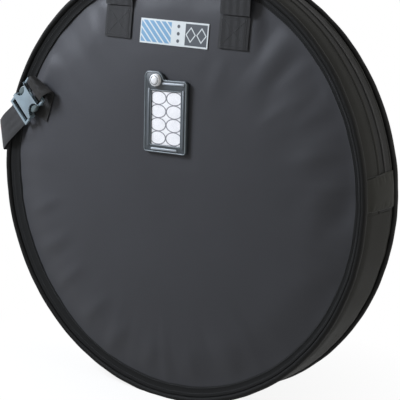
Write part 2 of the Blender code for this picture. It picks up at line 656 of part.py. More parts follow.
def tag_outline():
    """The tag's outline round its own middle, with the lobe at the upper left."""
    half_x = TAG_WIDTH / 2
    half_z = TAG_HEIGHT / 2
    r = TAG_CORNER_RADIUS
    lobe_x, lobe_z = tag_lobe()
    reach = TAG_LOBE_RADIUS + TAG_LOBE_FILLET
    above = TAG_LOBE_BELOW_TOP + TAG_LOBE_FILLET
    turn = degrees(asin(above / reach))
    fillet_x = lobe_x + reach * cos(radians(turn))
    points = rounded_corner(half_x - r, -half_z + r, r, -90, 0)
    points += rounded_corner(half_x - r, half_z - r, r, 0, 90)
    points += rounded_corner(fillet_x, half_z + TAG_LOBE_FILLET, TAG_LOBE_FILLET, -90, turn - 180)[:-1]
    points += rounded_corner(lobe_x, lobe_z, TAG_LOBE_RADIUS, turn, 90)
    corner = TAG_LOBE_CORNER
    points += rounded_corner(-half_x + corner, lobe_z + TAG_LOBE_RADIUS - corner, corner, 90, 180)
    points += rounded_corner(-half_x + r, -half_z + r, r, 180, 270)
    return points


def build_tag(lid):
    """The moulded tag: frame, card, clear window and round button."""
    centre_z = OUTER_RADIUS - TAG_CENTRE_DROP
    face = front_depth(centre_z - TAG_HEIGHT / 2) + TAG_SEAT_GAP
    middle = Matrix.Translation((-TAG_OFFSET, -face, CENTRE_HEIGHT + centre_z))
    place = middle @ Matrix.Rotation(radians(-TAG_TILT), 4, "Y") @ Matrix.Rotation(radians(90), 4, "X")
    frame = finish_object("tag_frame", plate(tag_outline(), 0.0, TAG_THICKNESS, place), TAG_RUBBER, lid)
    left = WINDOW_OFFSET - WINDOW_WIDTH / 2
    right = WINDOW_OFFSET + WINDOW_WIDTH / 2
    high = WINDOW_HEIGHT / 2 - WINDOW_DROP
    low = high - WINDOW_HEIGHT
    window_top = TAG_THICKNESS - GAP
    window_low = window_top - WINDOW_THICKNESS
    card_low = window_low - GAP - CARD_THICKNESS
    pocket = box((left, low, card_low - GAP), (right, high, TAG_THICKNESS + OVERCUT), place)
    boolean(frame, cutter("tag_pocket", pocket))
    card_top = card_low + CARD_THICKNESS
    card = box((left + GAP, low + GAP, card_low), (right - GAP, high - GAP, card_top), place)
    finish_object("tag_card", card, CARD_STOCK, lid)
    window = box((left + GAP, low + GAP, window_low), (right - GAP, high - GAP, window_top), place)
    finish_object("tag_window", window, CLEAR_SHEET, lid)
    lobe_x, lobe_z = tag_lobe()
    turns = [2 * pi * i / (4 * ROUND_STEPS) for i in range(4 * ROUND_STEPS)]
    disc = [(lobe_x + BUTTON_RADIUS * cos(t), lobe_z + BUTTON_RADIUS * sin(t)) for t in turns]
    base = TAG_THICKNESS + GAP
    finish_object("tag_button", plate(disc, base, base + BUTTON_HEIGHT, place), WHITE_PLASTIC, lid)


def buckle_frame():
    """The buckle's own axes: x from socket to plug, y across it, z out of the bag."""
    axis = radians(BUCKLE_AXIS_ANGLE)
    tilt = radians(BUCKLE_TILT)
    along = Vector((cos(axis) * cos(tilt), sin(tilt), sin(axis) * cos(tilt)))
    across = Vector((-sin(axis), 0, cos(axis)))
    out = along.cross(across)
    depth = PIPING_PLACE + PIPING_RADIUS + BUCKLE_STAND_OFF
    centre = on_rim(OUTER_RADIUS - BUCKLE_INSET, BUCKLE_PLACE_ANGLE, -depth)
    turned = Matrix((along, across, out)).transposed().to_4x4()
    return Matrix.Translation(centre) @ turned


def build_socket(frame, hinge):
    """The buckle's socket: a hollow body with side cut-outs, and a bar for its tab."""
    far_end = -BAR_PLACE - BAR_LENGTHWISE / 2
    slot_low = -BAR_PLACE + BAR_LENGTHWISE / 2
    mouth = socket_mouth()
    wide = BUCKLE_WIDTH / 2
    thick = BUCKLE_THICKNESS / 2
    thin = BAR_PLATE_THICKNESS / 2
    start = far_end + SOCKET_PLATE_LENGTH
    body = bevel_edges(box((start, -wide, -thick), (mouth, wide, thick), frame), BUCKLE_BEVEL)
    socket = finish_object("buckle_socket", body, BUCKLE_PLASTIC, hinge)
    plate_wide = wide - GAP
    joint = box((far_end, -plate_wide, -thin), (start + OVERCUT, plate_wide, thin), frame)
    boolean(socket, cutter("socket_end_plate", joint), "UNION")
    slot_wide = STRAP_WIDTH / 2 + SLOT_SIDE_CLEARANCE
    slot = box((slot_low, -slot_wide, -thick), (slot_low + SLOT_LENGTHWISE, slot_wide, thick), frame)
    boolean(socket, cutter("socket_slot", slot))
    cavity = box((mouth - CAVITY_DEPTH, -wide + CAVITY_SIDE_WALL, -thick + CAVITY_FACE_WALL),
                 (mouth + OVERCUT, wide - CAVITY_SIDE_WALL, thick - CAVITY_FACE_WALL), frame)
    boolean(socket, cutter("socket_cavity", cavity))
    turns = [2 * pi * (i + 0.5) / (4 * ROUND_STEPS) for i in range(4 * ROUND_STEPS)]
    for side in (-1, 1):
        disc = [(CUT_OUT_FROM_CENTRE + CUT_OUT_RADIUS * cos(t), side * wide + CUT_OUT_RADIUS * sin(t))
                for t in turns]
        notch = plate(disc, -thick - OVERCUT, thick + OVERCUT, frame)
        boolean(socket, cutter(f"socket_cut_out_{side + 1}", notch))


def socket_mouth():
    """Where the socket's mouth lies along the buckle."""
    return plug_shoulder() - MOUTH_GAP


def plug_shoulder():
    """Where the plug's shoulder lies along the buckle."""
    return BAR_PLACE - BAR_LENGTHWISE / 2 - SLOT_LENGTHWISE - PLUG_SHOULDER_LENGTH


def build_plug(frame, hinge):
    """The buckle's plug, with its bar for the strap."""
    shoulder = plug_shoulder()
    far_end = BAR_PLACE + BAR_LENGTHWISE / 2
    wide = BUCKLE_WIDTH / 2
    thin = BAR_PLATE_THICKNESS / 2
    plug = finish_object("buckle_plug", box((shoulder, -wide, -thin), (far_end, wide, thin), frame),
                         BUCKLE_PLASTIC, hinge)
    slot_wide = STRAP_WIDTH / 2 + SLOT_SIDE_CLEARANCE
    high = BAR_PLACE - BAR_LENGTHWISE / 2
    slot_low = (high - SLOT_LENGTHWISE, -slot_wide, -BUCKLE_THICKNESS)
    slot = box(slot_low, (high, slot_wide, BUCKLE_THICKNESS), frame)
    boolean(plug, cutter("plug_slot", slot))


def prong_outline():
    """One prong's outline: a slim arm with a round-nosed head whose outer side is the button."""
    root = plug_shoulder() - GAP
    wide = BUCKLE_WIDTH / 2
    cavity = wide - CAVITY_SIDE_WALL
    outer = wide - PRONG_INSET
    inner = outer - PRONG_WIDTH
    button = wide - PRONG_BUTTON_RECESS
    head_start = CUT_OUT_FROM_CENTRE + PRONG_HEAD_LENGTH / 2
    head_end = CUT_OUT_FROM_CENTRE - PRONG_HEAD_LENGTH / 2
    step = PRONG_HEAD_LENGTH / 4
    return [(root, outer), (root, inner), (head_end, inner), (head_end - step, (inner + cavity) / 2),
            (head_end, cavity - GAP), (head_end + step, button), (head_start - step, button),
            (head_start, cavity - GAP), (head_start + step, outer)]


def build_prongs(frame, strap_pivot):
    """The two spring arms of the plug, which click into the socket."""
    thick = PRONG_THICKNESS / 2
    outline = prong_outline()
    root_x, root_y = outline[0]
    for side, name in ((1, "lower"), (-1, "upper")):
        place = frame @ Vector((root_x, side * (root_y - PRONG_WIDTH / 2), 0))
        hinge = pivot(f"prong_axis_{name}", place, strap_pivot)
        points = [(x, side * y) for x, y in outline]
        finish_object(f"buckle_prong_{name}", plate(points, -thick, thick, frame), BUCKLE_PLASTIC, hinge)


def wrap_sections(frame, bar, away):
    """Webbing that passes round a bar; away is the side, 1 or -1, on which it leaves the bar."""
    half = STRAP_WIDTH / 2
    places = [(bar + away * STRAP_LEAD, WRAP_RADIUS)]
    for i in range(WRAP_STEPS + 1):
        turn = radians(90 - 180 * i / WRAP_STEPS)
        places.append((bar - away * WRAP_RADIUS * cos(turn), WRAP_RADIUS * sin(turn)))
    places.append((bar + away * TAIL_LENGTH, -WRAP_RADIUS))
    return [(frame @ Vector((x, -half, z)), frame @ Vector((x, half, z))) for x, z in places]


def strap_root_points():
    """The upper and lower ends of the line that the strap leaves the seam on."""
    y = -PIPING_PLACE + STRAP_ROOT_BEHIND_PIPING
    low = LID_CHORD_ABOVE_CENTRE + STRAP_LOW_ABOVE_CHORD
    points = []
    for height in (low + STRAP_RIM_SPAN, low):
        x = -sqrt(OUTER_RADIUS ** 2 - height ** 2)
        points.append(Vector((x - STRAP_ROOT_OUT, y, height + CENTRE_HEIGHT)))
    return points


def build_strap(frame, hinge):
    """The side strap: out of the seam, round the piping, and over to the plug's bar."""
    high, low = strap_root_points()
    fold_y = -PIPING_PLACE - STRAP_FOLD_FORWARD
    fold = (Vector((high.x - STRAP_FOLD_OUT_HIGH, fold_y, high.z)),
            Vector((low.x - STRAP_FOLD_OUT_LOW, fold_y, low.z)))
    wrap = wrap_sections(frame, BAR_PLACE, 1)
    front_y = -PIPING_PLACE - STRAP_FRONT_STAND_OFF
    sections = [(high, low), fold]
    for share, forward in zip(STRAP_RUN_SHARES, STRAP_FORWARD_SHARES):
        pair = []
        for start, end in zip(fold, wrap[0]):
            point = start.lerp(end, share)
            point.y = fold_y + (front_y - fold_y) * forward
            pair.append(point)
        sections.append(tuple(pair))
    finish_object("side_strap", ribbon(sections + wrap, STRAP_THICKNESS), WEBBING, hinge)


def build_tab(frame, lid):
    """The webbing tab of the socket: sewn to the panel, folded over and passed round the bar."""
    centre = frame.translation
    turn = radians(TAB_ANGLE)
    along = Vector((cos(turn), 0, sin(turn)))
    across = Vector((-sin(turn), 0, cos(turn)))
    right_end = Vector((centre.x + TAB_END_FROM_CENTRE_X, 0, centre.z - TAB_END_FROM_CENTRE_Z))
    left_end = right_end + across * STRAP_WIDTH

    def on_panel(point):
        depth = front_depth(hypot(point.x, point.z - CENTRE_HEIGHT)) + GAP * 2 + STRAP_THICKNESS / 2
        return Vector((point.x, -depth, point.z))

    lower = [(on_panel(left_end), on_panel(right_end)),
             (on_panel(left_end + along * TAB_SEWN_LENGTH), on_panel(right_end + along * TAB_SEWN_LENGTH))]
    fold = []
    for corner, reach in ((left_end, TAB_FOLD_OUTER), (right_end, TAB_FOLD_INNER)):
        point = on_panel(corner + along * reach)
        point.y -= TAB_FOLD_FORWARD
        fold.append(point)
    wrap = wrap_sections(frame, -BAR_PLACE, -1)
    finish_object("buckle_tab", ribbon(lower + [tuple(fold)] + wrap, STRAP_THICKNESS), WEBBING, lid)


def build_side_strap(lid):
    """The strap, its buckle and its tab, which all hang on the lid."""
    frame = buckle_frame()
    build_tab(frame, lid)
    socket_axis = frame @ Vector((-BAR_PLACE, 0, 0))
    build_socket(frame, pivot("buckle_socket_axis", socket_axis, lid))
    high, low = strap_root_points()
    strap_pivot = pivot("side_strap_axis", (high + low) / 2, lid)
    build_strap(frame, strap_pivot)
    build_plug(frame, strap_pivot)
    build_prongs(frame, strap_pivot)


def build_dividers(shell):
    """Two padded discs that stand between the cymbals, sewn in at the foot."""
    foot = CENTRE_HEIGHT - GUSSET_LINING_INNER + DIVIDER_FOOT_GAP
    centre = foot + DIVIDER_RADIUS
    count = round(360 / ARC_STEP)
    for name, side in (("front", -1), ("rear", 1)):
        y = side * DIVIDER_PLACE
        place = Vector((0, y, foot))
        hinge = pivot(f"divider_axis_{name}", place, shell)
        rings = []
        for level in (-DIVIDER_THICKNESS / 2, DIVIDER_THICKNESS / 2):
            turns = [radians(ARC_STEP * i) for i in range(count)]
            rings.append([Vector((DIVIDER_RADIUS * cos(t), y + level, centre + DIVIDER_RADIUS * sin(t)))
                          for t in turns])
        finish_object(f"divider_{name}", loft(rings), LINING, hinge)


def main():
    """Clears the scene and builds the bag."""
    for item in list(bpy.data.objects):
        bpy.data.objects.remove(item)
    shell = pivot("shell", Vector((0, 0, 0)))
    lid_axis = Vector((0, -front_depth(0) - GAP, CHORD_HEIGHT))
    lid = pivot("lid_axis", lid_axis)
    build_panels(lid, shell)
    build_gussets(lid, shell)
    build_pipings(lid, shell)
    build_zip(lid, shell)
    build_handles(lid, shell)
    build_label(lid)
    build_tag(lid)
    build_side_strap(lid)
    build_dividers(shell)


main()
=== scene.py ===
"""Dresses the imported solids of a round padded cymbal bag, and sets its camera, light and floor.

The bag stands on its rim with its front panel towards -Y. Cloth panels, gusset, piping, webbing,
zip, tag, label and buckle are each made here as the real piece looks, on the place of its solid.
"""

import logging
from dataclasses import dataclass
from enum import Enum, IntEnum
from functools import cache, cached_property
from math import asin, atan2, ceil, cos, degrees, exp, hypot, pi, radians, sin, sqrt
from typing import Callable, Iterable, Mapping, Optional, Sequence, Union

import bmesh
import bpy
import numpy as np
from mathutils import Matrix, Vector, noise


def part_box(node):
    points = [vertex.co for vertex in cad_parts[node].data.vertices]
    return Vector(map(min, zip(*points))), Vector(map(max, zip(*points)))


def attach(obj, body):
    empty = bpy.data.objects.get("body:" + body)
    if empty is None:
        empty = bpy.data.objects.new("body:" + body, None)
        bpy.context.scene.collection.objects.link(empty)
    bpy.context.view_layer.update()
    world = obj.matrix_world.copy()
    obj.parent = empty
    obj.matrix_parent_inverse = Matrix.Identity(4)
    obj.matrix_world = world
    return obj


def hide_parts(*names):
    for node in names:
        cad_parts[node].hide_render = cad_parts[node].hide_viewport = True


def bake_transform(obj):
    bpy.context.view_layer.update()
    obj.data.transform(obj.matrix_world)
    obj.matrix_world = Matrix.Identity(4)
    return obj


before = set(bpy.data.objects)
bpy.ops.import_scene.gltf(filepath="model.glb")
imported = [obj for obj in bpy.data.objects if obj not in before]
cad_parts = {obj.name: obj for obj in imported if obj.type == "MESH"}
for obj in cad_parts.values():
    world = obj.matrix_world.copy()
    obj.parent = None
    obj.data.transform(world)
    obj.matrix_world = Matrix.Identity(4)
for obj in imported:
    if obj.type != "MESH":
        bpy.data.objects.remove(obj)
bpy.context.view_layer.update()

LOG = logging.getLogger("cymbal_bag")
CLOTH_MAP = "cloth"
FULL_TURN = 360.0
HALF_TURN = 180.0
Piece = bpy.types.Object
Socket = bpy.types.NodeSocket
Value = Union[Socket, float, Sequence[float]]
Ripple = Callable[[float, float, float], float]
Pair = tuple[Vector, Vector]
Spot = tuple[float, float]
Colour = tuple[float, float, float, float]


class Body(str, Enum):
    """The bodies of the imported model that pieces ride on."""

    SHELL = "shell"
    LID = "lid"
    FRONT_HANDLE = "front_handle"
    REAR_HANDLE = "rear_handle"
    SOCKET = "buckle_socket"
    STRAP = "side_strap"
    PRONG_LOWER = "buckle_prong_lower"
    PRONG_UPPER = "buckle_prong_upper"
    DIVIDER_FRONT = "divider_front"
    DIVIDER_REAR = "divider_rear"
    SLIDER_LEFT = "zip_slider_left"
    SLIDER_RIGHT = "zip_slider_right"
    PULL_LEFT = "zip_pull_left"
    PULL_RIGHT = "zip_pull_right"


class Face(IntEnum):
    """The bag's two faces, by the sign of their depth along Y."""

    FRONT = -1
    REAR = 1


def smoothstep(value: float) -> float:
    """A soft ramp from 0 to 1."""
    share = min(max(value, 0.0), 1.0)
    return share * share * (3 - 2 * share)


@dataclass(frozen=True)
class BagSizes:
    """The bag's driving sizes in metres, as the solids have them."""

    radius: float = 0.330
    base_flat: float = 0.084
    gap: float = 0.0003
    piping_place: float = 0.045
    piping_radius: float = 0.0045
    panel_edge: float = 0.0445
    panel_radius: float = 0.3205
    front_crown: float = 0.0125
    rear_crown: float = 0.0055
    rear_flat_share: float = 0.58
    padding_inner: float = 0.0394
    lining_thickness: float = 0.0012
    border_inner: float = 0.3062
    border_shift: float = 0.0045
    valley: float = 0.0042
    valley_start: float = 0.246
    valley_reach: float = 0.060
    valley_end: float = 0.3120
    valley_rise: float = 0.0085
    gusset_radius: float = 0.3285
    gusset_half_width: float = 0.040
    gusset_foam_inner: float = 0.3185
    chord: float = 0.005
    zip_centre: float = 0.0135
    tape_half: float = 0.0165
    webbing: float = 0.050
    webbing_thickness: float = 0.0022
    handle_half_spacing: float = 0.1036
    handle_patch_top: float = 0.258
    handle_patch_length: float = 0.047
    handle_rise: float = 0.085
    handle_depth: float = 0.032

    @property
    def centre_height(self) -> float:
        """The height of the disc's centre above the floor."""
        return sqrt(self.radius**2 - (self.base_flat / 2) ** 2)

    @property
    def chord_angle(self) -> float:
        """Degrees on the gusset from the middle height to the line that the lid folds on."""
        return degrees(asin(self.chord / self.gusset_radius))

    def depth(self, face: Face, radius: float) -> float:
        """How far a panel's crown stands from the disc's middle plane.

        Args:
            face: The front or the rear panel.
            radius: Distance from the disc's axis.

        Returns:
            The distance, without a sign.
        """
        share = min(radius / self.panel_radius, 1.0)
        if face is Face.FRONT:
            return self.panel_edge + self.front_crown * (1 - share**3)
        fall = max(0.0, (share - self.rear_flat_share) / (1 - self.rear_flat_share))
        return self.panel_edge + self.rear_crown * (1 - fall**2)

    def dip(self, radius: float) -> float:
        """How far the front cloth sinks towards the seam beside the piping."""
        inner = smoothstep((radius - self.valley_start) / self.valley_reach)
        outer = smoothstep((radius - self.valley_end) / self.valley_rise)
        return self.valley * inner * (1 - outer)

    def sunk(self, face: Face, radius: float) -> float:
        """The dip under an edge tape, which only the front panel has."""
        return self.dip(radius) if face is Face.FRONT else 0.0


SIZES = BagSizes()
CENTRE = Vector((0.0, 0.0, SIZES.centre_height))


@dataclass(frozen=True)
class TagSizes:
    """The tag's sizes in metres, in its own frame: across, up and out from its middle."""

    width: float = 0.077
    height: float = 0.112
    thickness: float = 0.0045
    corner: float = 0.0050
    middle_x: float = -0.0025
    middle_z: float = 0.1030
    tilt: float = 2.0
    lift: float = 0.0004
    low: float = -0.0535
    high: float = 0.0543
    lobe: float = 0.0130
    fillet: float = 0.0040
    lobe_corner: float = 0.0080
    button: Spot = (-0.0168, 0.0531)
    window: Spot = (0.053, 0.079)
    window_middle: Spot = (0.0010, -0.0020)

    def place(self, across: float, up: float, out: float) -> Vector:
        """A place on the tag in the row frame.

        Args:
            across: Distance to the right of the tag's middle.
            up: Distance above the middle.
            out: Distance in front of the tag's back.

        Returns:
            The point.
        """
        turn = radians(self.tilt)
        back = SIZES.depth(Face.FRONT, self.middle_z - self.height / 2) + self.lift
        x = self.middle_x + across * cos(turn) - up * sin(turn)
        z = self.middle_z + across * sin(turn) + up * cos(turn)
        return Vector((x, -back - out, z + SIZES.centre_height))


TAG = TagSizes()


def on_rim(radius: float, angle: float, y: float) -> Vector:
    """The point at a radius, an angle in degrees from +X towards +Z and a depth, never under the floor."""
    turn = radians(angle)
    return Vector((radius * cos(turn), y, max(CENTRE.z + radius * sin(turn), 0.0)))


def spread(start: float, end: float, step: float) -> list[float]:
    """Even values from start to end, about a step apart."""
    count = max(1, ceil(abs(end - start) / step))
    return [start + (end - start) * i / count for i in range(count + 1)]


def shares_of(count: int) -> list[float]:
    """Even shares from 0 to 1 in a number of steps."""
    return [i / count for i in range(count + 1)]


def circle(count: int) -> list[float]:
    """Even directions round a full circle, in radians."""
    return [2 * pi * k / count for k in range(count)]


def ring_noise(turn: float, scale: float, offset: float) -> float:
    """Smooth noise that closes on itself round the disc."""
    return noise.noise(Vector((cos(turn) * scale, sin(turn) * scale, offset)))


def linked(name: str, data: bpy.types.ID) -> Piece:
    """A new object in the scene with the given data."""
    made = bpy.data.objects.new(name, data)
    bpy.context.scene.collection.objects.link(made)
    return made


def evaluated_mesh(piece: Piece) -> bpy.types.Mesh:
    """The plain mesh of an object with its modifiers applied."""
    graph = bpy.context.evaluated_depsgraph_get()
    return bpy.data.meshes.new_from_object(piece.evaluated_get(graph))


class MeshShop:
    """Makes mesh objects from rows of points."""

    weld_distance = 1e-5
    flat_angle = 0.5
    bevel_angle = 28.0
    bevel_steps = 3
    ribbon_edge = 0.45

    @staticmethod
    def finish(name: str, vertices: np.ndarray, faces: list, uvs: np.ndarray, sharp: float) -> Piece:
        """Makes the object, turns its faces outwards and shades it.

        Args:
            name: The piece's name.
            vertices: Points, one row each.
            faces: Vertex numbers of each face.
            uvs: The place on the cloth of each face corner, in metres.
            sharp: Angle in degrees over which an edge stays sharp.

        Returns:
            The linked object.
        """
        mesh = bpy.data.meshes.new(name)
        mesh.from_pydata(vertices.tolist(), [], faces)
        mesh.uv_layers.new(name=CLOTH_MAP).data.foreach_set("uv", uvs.astype(np.float32).ravel())
        bm = bmesh.new()
        bm.from_mesh(mesh)
        inside_out = bm.calc_volume(signed=True) < 0
        bm.free()
        if inside_out:
            mesh.flip_normals()
        mesh.shade_smooth()
        mesh.set_sharp_from_angle(angle=radians(sharp))
        return linked(name, mesh)

    @classmethod
    def sweep(
        cls, name: str, sections: Sequence, closed: bool = False, flat_map: bool = False, sharp: float = 45.0
    ) -> Piece:
        """Joins closed sections of equal length into one solid.

        Args:
            name: The piece's name.
            sections: Closed loops of points, one after the other.
            closed: Whether the last section joins the first one.
            flat_map: Whether the cloth's map is the plain X and Z of each point.
            sharp: Angle in degrees over which an edge stays sharp.

        Returns:
            The linked object.
        """
        grid = np.array([[tuple(p) for p in row] for row in sections])
        rows, columns, _ = grid.shape
        step_across = np.linalg.norm(np.roll(grid, -1, axis=1) - grid, axis=2).mean(axis=0)
        across = np.concatenate(([0.0], np.cumsum(step_across)))
        step_along = np.linalg.norm(np.roll(grid, -1, axis=0) - grid, axis=2).mean(axis=1)
        along = np.concatenate(([0.0], np.cumsum(step_along)))
        faces = []
        uvs = []
        for i in range(rows if closed else rows - 1):
            for j in range(columns):
                corners = ((i, j), (i, j + 1), (i + 1, j + 1), (i + 1, j))
                faces.append([(a % rows) * columns + b % columns for a, b in corners])
                uvs.extend((across[b], along[a]) for a, b in corners)
        if not closed:
            for i, order in ((0, range(columns - 1, -1, -1)), (rows - 1, range(columns))):
                faces.append([i * columns + j for j in order])
                uvs.extend((across[j], along[i]) for j in order)
        places = grid.reshape(-1, 3)
        corners = np.array(uvs)
        if flat_map:
            order = np.concatenate([np.array(face) for face in faces])
            corners = places[order][:, (0, 2)]
        return cls.finish(name, places, faces, corners, sharp)

    @classmethod
    def arc(
        cls, name: str, profile: Sequence[Spot], start: float, end: float, step: float = 1.0,
        ripple: Optional[Ripple] = None, sharp: float = 45.0,
    ) -> Piece:
        """Turns a profile about the disc's axis. A full turn is closed.

        Args:
            name: The piece's name.
            profile: Radius and Y of each point of the section.
            start: First angle in degrees.
            end: Last angle in degrees.
            step: About how many degrees lie between two sections.
            ripple: What is added to the radius at an angle, radius and Y.
            sharp: Angle in degrees over which an edge stays sharp.

        Returns:
            The linked object.
        """
        whole = abs(end - start - FULL_TURN) < 1e-6
        angles = spread(start, end, step)
        if whole:
            angles = angles[:-1]
        sections = []
        for angle in angles:
            row = []
            for radius, y in profile:
                extra = ripple(angle, radius, y) if ripple else 0.0
                row.append(on_rim(radius + extra, angle, y))
            sections.append(row)
        return cls.sweep(name, sections, closed=whole, sharp=sharp)

    @classmethod
    def ribbon(cls, name: str, pairs: Sequence[Pair], thickness: float, columns: int) -> Piece:
        """Webbing through pairs of edge points, with soft edges.

        Args:
            name: The piece's name.
            pairs: Left and right edge points along the webbing.
            thickness: The webbing's thickness.
            columns: Steps across each face.

        Returns:
            The linked object.
        """
        middles = [(left + right) / 2 for left, right in pairs]
        sections = []
        for i, (left, right) in enumerate(pairs):
            along = middles[min(i + 1, len(middles) - 1)] - middles[max(i - 1, 0)]
            normal = along.cross(right - left).normalized()
            upper = []
            lower = []
            for share in shares_of(columns):
                at_edge = min(share, 1 - share) * columns < 0.5
                half = thickness / 2 * (cls.ribbon_edge if at_edge else 1.0)
                point = left.lerp(right, share)
                upper.append(point + normal * half)
                lower.append(point - normal * half)
            sections.append(upper + lower[::-1])
        return cls.sweep(name, sections, sharp=60.0)

    @classmethod
    def tube(cls, name: str, path: Sequence[Vector], radius: float) -> Piece:
        """A thin closed ring of round section along a path that lies about square to Y.

        Args:
            name: The piece's name.
            path: Points round the ring.
            radius: The section's radius.

        Returns:
            The linked object.
        """
        sections = []
        for i, point in enumerate(path):
            along = (path[(i + 1) % len(path)] - path[i - 1]).normalized()
            across = along.cross(Vector((0, 1, 0))).normalized()
            up = across.cross(along)
            sections.append([point + (across * cos(t) + up * sin(t)) * radius for t in circle(6)])
        return cls.sweep(name, sections, closed=True, sharp=80.0)

    @staticmethod
    def carved(mesh: bpy.types.Mesh, cutters: Sequence[Piece]) -> bpy.types.Mesh:
        """Takes cutters out of a mesh and uses them up.

        Args:
            mesh: The mesh to carve.
            cutters: Closed objects to take away.

        Returns:
            The carved mesh.
        """
        body = linked("carved", mesh)
        for cutter in cutters:
            modifier = body.modifiers.new("cut", "BOOLEAN")
            modifier.operation = "DIFFERENCE"
            modifier.solver = "EXACT"
            modifier.object = cutter
        made = evaluated_mesh(body)
        for used in (body, *cutters):
            bpy.data.objects.remove(used)
        return made

    @classmethod
    def refined(cls, name: str, node: str, width: float, cutters: Sequence[Piece] = ()) -> Piece:
        """A copy of a solid with its sharp edges rounded, after the cutters are taken out of it.

        Args:
            name: The piece's name.
            node: The solid's name.
            width: How far each edge is cut back.
            cutters: Closed objects to take away first.

        Returns:
            The linked object.
        """
        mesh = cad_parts[node].data.copy()
        mesh.materials.clear()
        if cutters:
            mesh = cls.carved(mesh, cutters)
        mesh.name = name
        bm = bmesh.new()
        bm.from_mesh(mesh)
        bmesh.ops.remove_doubles(bm, verts=bm.verts, dist=cls.weld_distance)
        bmesh.ops.dissolve_limit(bm, angle_limit=radians(cls.flat_angle), verts=bm.verts, edges=bm.edges)
        edges = [e for e in bm.edges if len(e.link_faces) == 2 and e.calc_face_angle() > radians(cls.bevel_angle)]
        bmesh.ops.bevel(bm, geom=edges, offset=width, segments=cls.bevel_steps, affect="EDGES",
                        profile=0.5, clamp_overlap=True)
        bmesh.ops.triangulate(bm, faces=[f for f in bm.faces if len(f.verts) > 4])
        bm.to_mesh(mesh)
        bm.free()
        mesh.shade_smooth()
        mesh.set_sharp_from_angle(angle=radians(40))
        return linked(name, mesh)

    @staticmethod
    def join(name: str, objects: Sequence[Piece]) -> Piece:
        """Joins objects into one under a new name.

        Args:
            name: The joined piece's name.
            objects: The objects, which are used up.

        Returns:
            The joined object.
        """
        with bpy.context.temp_override(active_object=objects[0], selected_editable_objects=list(objects)):
            bpy.ops.object.join()
        objects[0].name = name
        objects[0].data.name = name
        return objects[0]


def curve_through(points: Sequence[Vector], steps: int) -> list[Vector]:
    """A smooth curve through points.

    Args:
        points: The points that it passes.
        steps: The number of steps between each two.

    Returns:
        The curve's points.
    """
    made = []
    last = len(points) - 1
    for i in range(last):
        before = points[max(i - 1, 0)]
        after = points[min(i + 2, last)]
        start, end = points[i], points[i + 1]
        for k in range(steps):
            t = k / steps
            made.append(
                0.5 * (2 * start + (end - before) * t + (2 * before - 5 * start + 4 * end - after) * t**2
                       + (3 * start - before - 3 * end + after) * t**3)
            )
    made.append(points[-1])
    return made


def smooth_pairs(pairs: Sequence[Pair], steps: int) -> list[Pair]:
    """Smooths both edges of a webbing's path."""
    left = curve_through([pair[0] for pair in pairs], steps)
    right = curve_through([pair[1] for pair in pairs], steps)
    return list(zip(left, right))


class Nodes:
    """A short way to write node trees."""

    def __init__(self, tree: bpy.types.NodeTree) -> None:
        """Keeps the tree that nodes are added to."""
        self.tree = tree

    def add(self, kind: str, **settings: object) -> bpy.types.Node:
        """Adds a node and sets its properties."""
        node = self.tree.nodes.new(kind)
        for key, value in settings.items():
            setattr(node, key, value)
        return node

    def put(self, socket: Socket, value: Value) -> None:
        """Links a socket to an input, or sets the input's value."""
        if isinstance(value, Socket):
            self.tree.links.new(value, socket)
        else:
            socket.default_value = value

    def set(self, node: bpy.types.Node, values: Mapping[Union[str, int], Value]) -> bpy.types.Node:
        """Fills a node's inputs by name or number, and returns the node."""
        for label, value in values.items():
            self.put(node.inputs[label], value)
        return node

    def math(self, operation: str, first: Value, second: Value = 0.0, third: Value = 0.0) -> Socket:
        """A Math node's result."""
        node = self.add("ShaderNodeMath", operation=operation)
        return self.set(node, {0: first, 1: second, 2: third}).outputs[0]

    def mix(self, factor: Value, first: Value, second: Value) -> Socket:
        """A colour between two colours."""
        node = self.add("ShaderNodeMix", data_type="RGBA")
        return self.set(node, {0: factor, 6: first, 7: second}).outputs[2]

    def ramp(self, value: Value, low: float, high: float, start: float = 0.0, end: float = 1.0) -> Socket:
        """A value moved from one range to another, with its ends held."""
        node = self.add("ShaderNodeMapRange", clamp=True)
        return self.set(node, {0: value, 1: low, 2: high, 3: start, 4: end}).outputs[0]

    def noise(self, vector: Value, scale: Value, detail: float = 2.0, roughness: float = 0.5) -> Socket:
        """A Noise texture's value."""
        values = {"Vector": vector, "Scale": scale, "Detail": detail, "Roughness": roughness}
        return self.set(self.add("ShaderNodeTexNoise"), values).outputs[0]

    def split(self, vector: Value) -> Sequence[Socket]:
        """The three parts of a vector."""
        return self.set(self.add("ShaderNodeSeparateXYZ"), {0: vector}).outputs

    def combine(self, x: Value = 0.0, y: Value = 0.0, z: Value = 0.0) -> Socket:
        """A vector from its three parts."""
        return self.set(self.add("ShaderNodeCombineXYZ"), {0: x, 1: y, 2: z}).outputs[0]

    def sine_rows(self, place: Value, pitch: Value) -> Socket:
        """A wave that repeats at a pitch."""
        return self.math("SINE", self.math("DIVIDE", self.math("MULTIPLY", place, 2 * pi), pitch))

    def effect(self, tree: bpy.types.NodeTree, values: Mapping[str, Value]) -> Mapping[str, Socket]:
        """Adds a shared effect with its own values, and returns its outputs."""
        return self.set(self.add("ShaderNodeGroup", node_tree=tree), values).outputs

    def bump(self, shader: bpy.types.Node, height: Value, distance: float, strength: float) -> None:
        """Feeds a height into a shader's normal."""
        values = {"Height": height, "Distance": distance, "Strength": strength}
        self.put(shader.inputs["Normal"], self.set(self.add("ShaderNodeBump"), values).outputs[0])


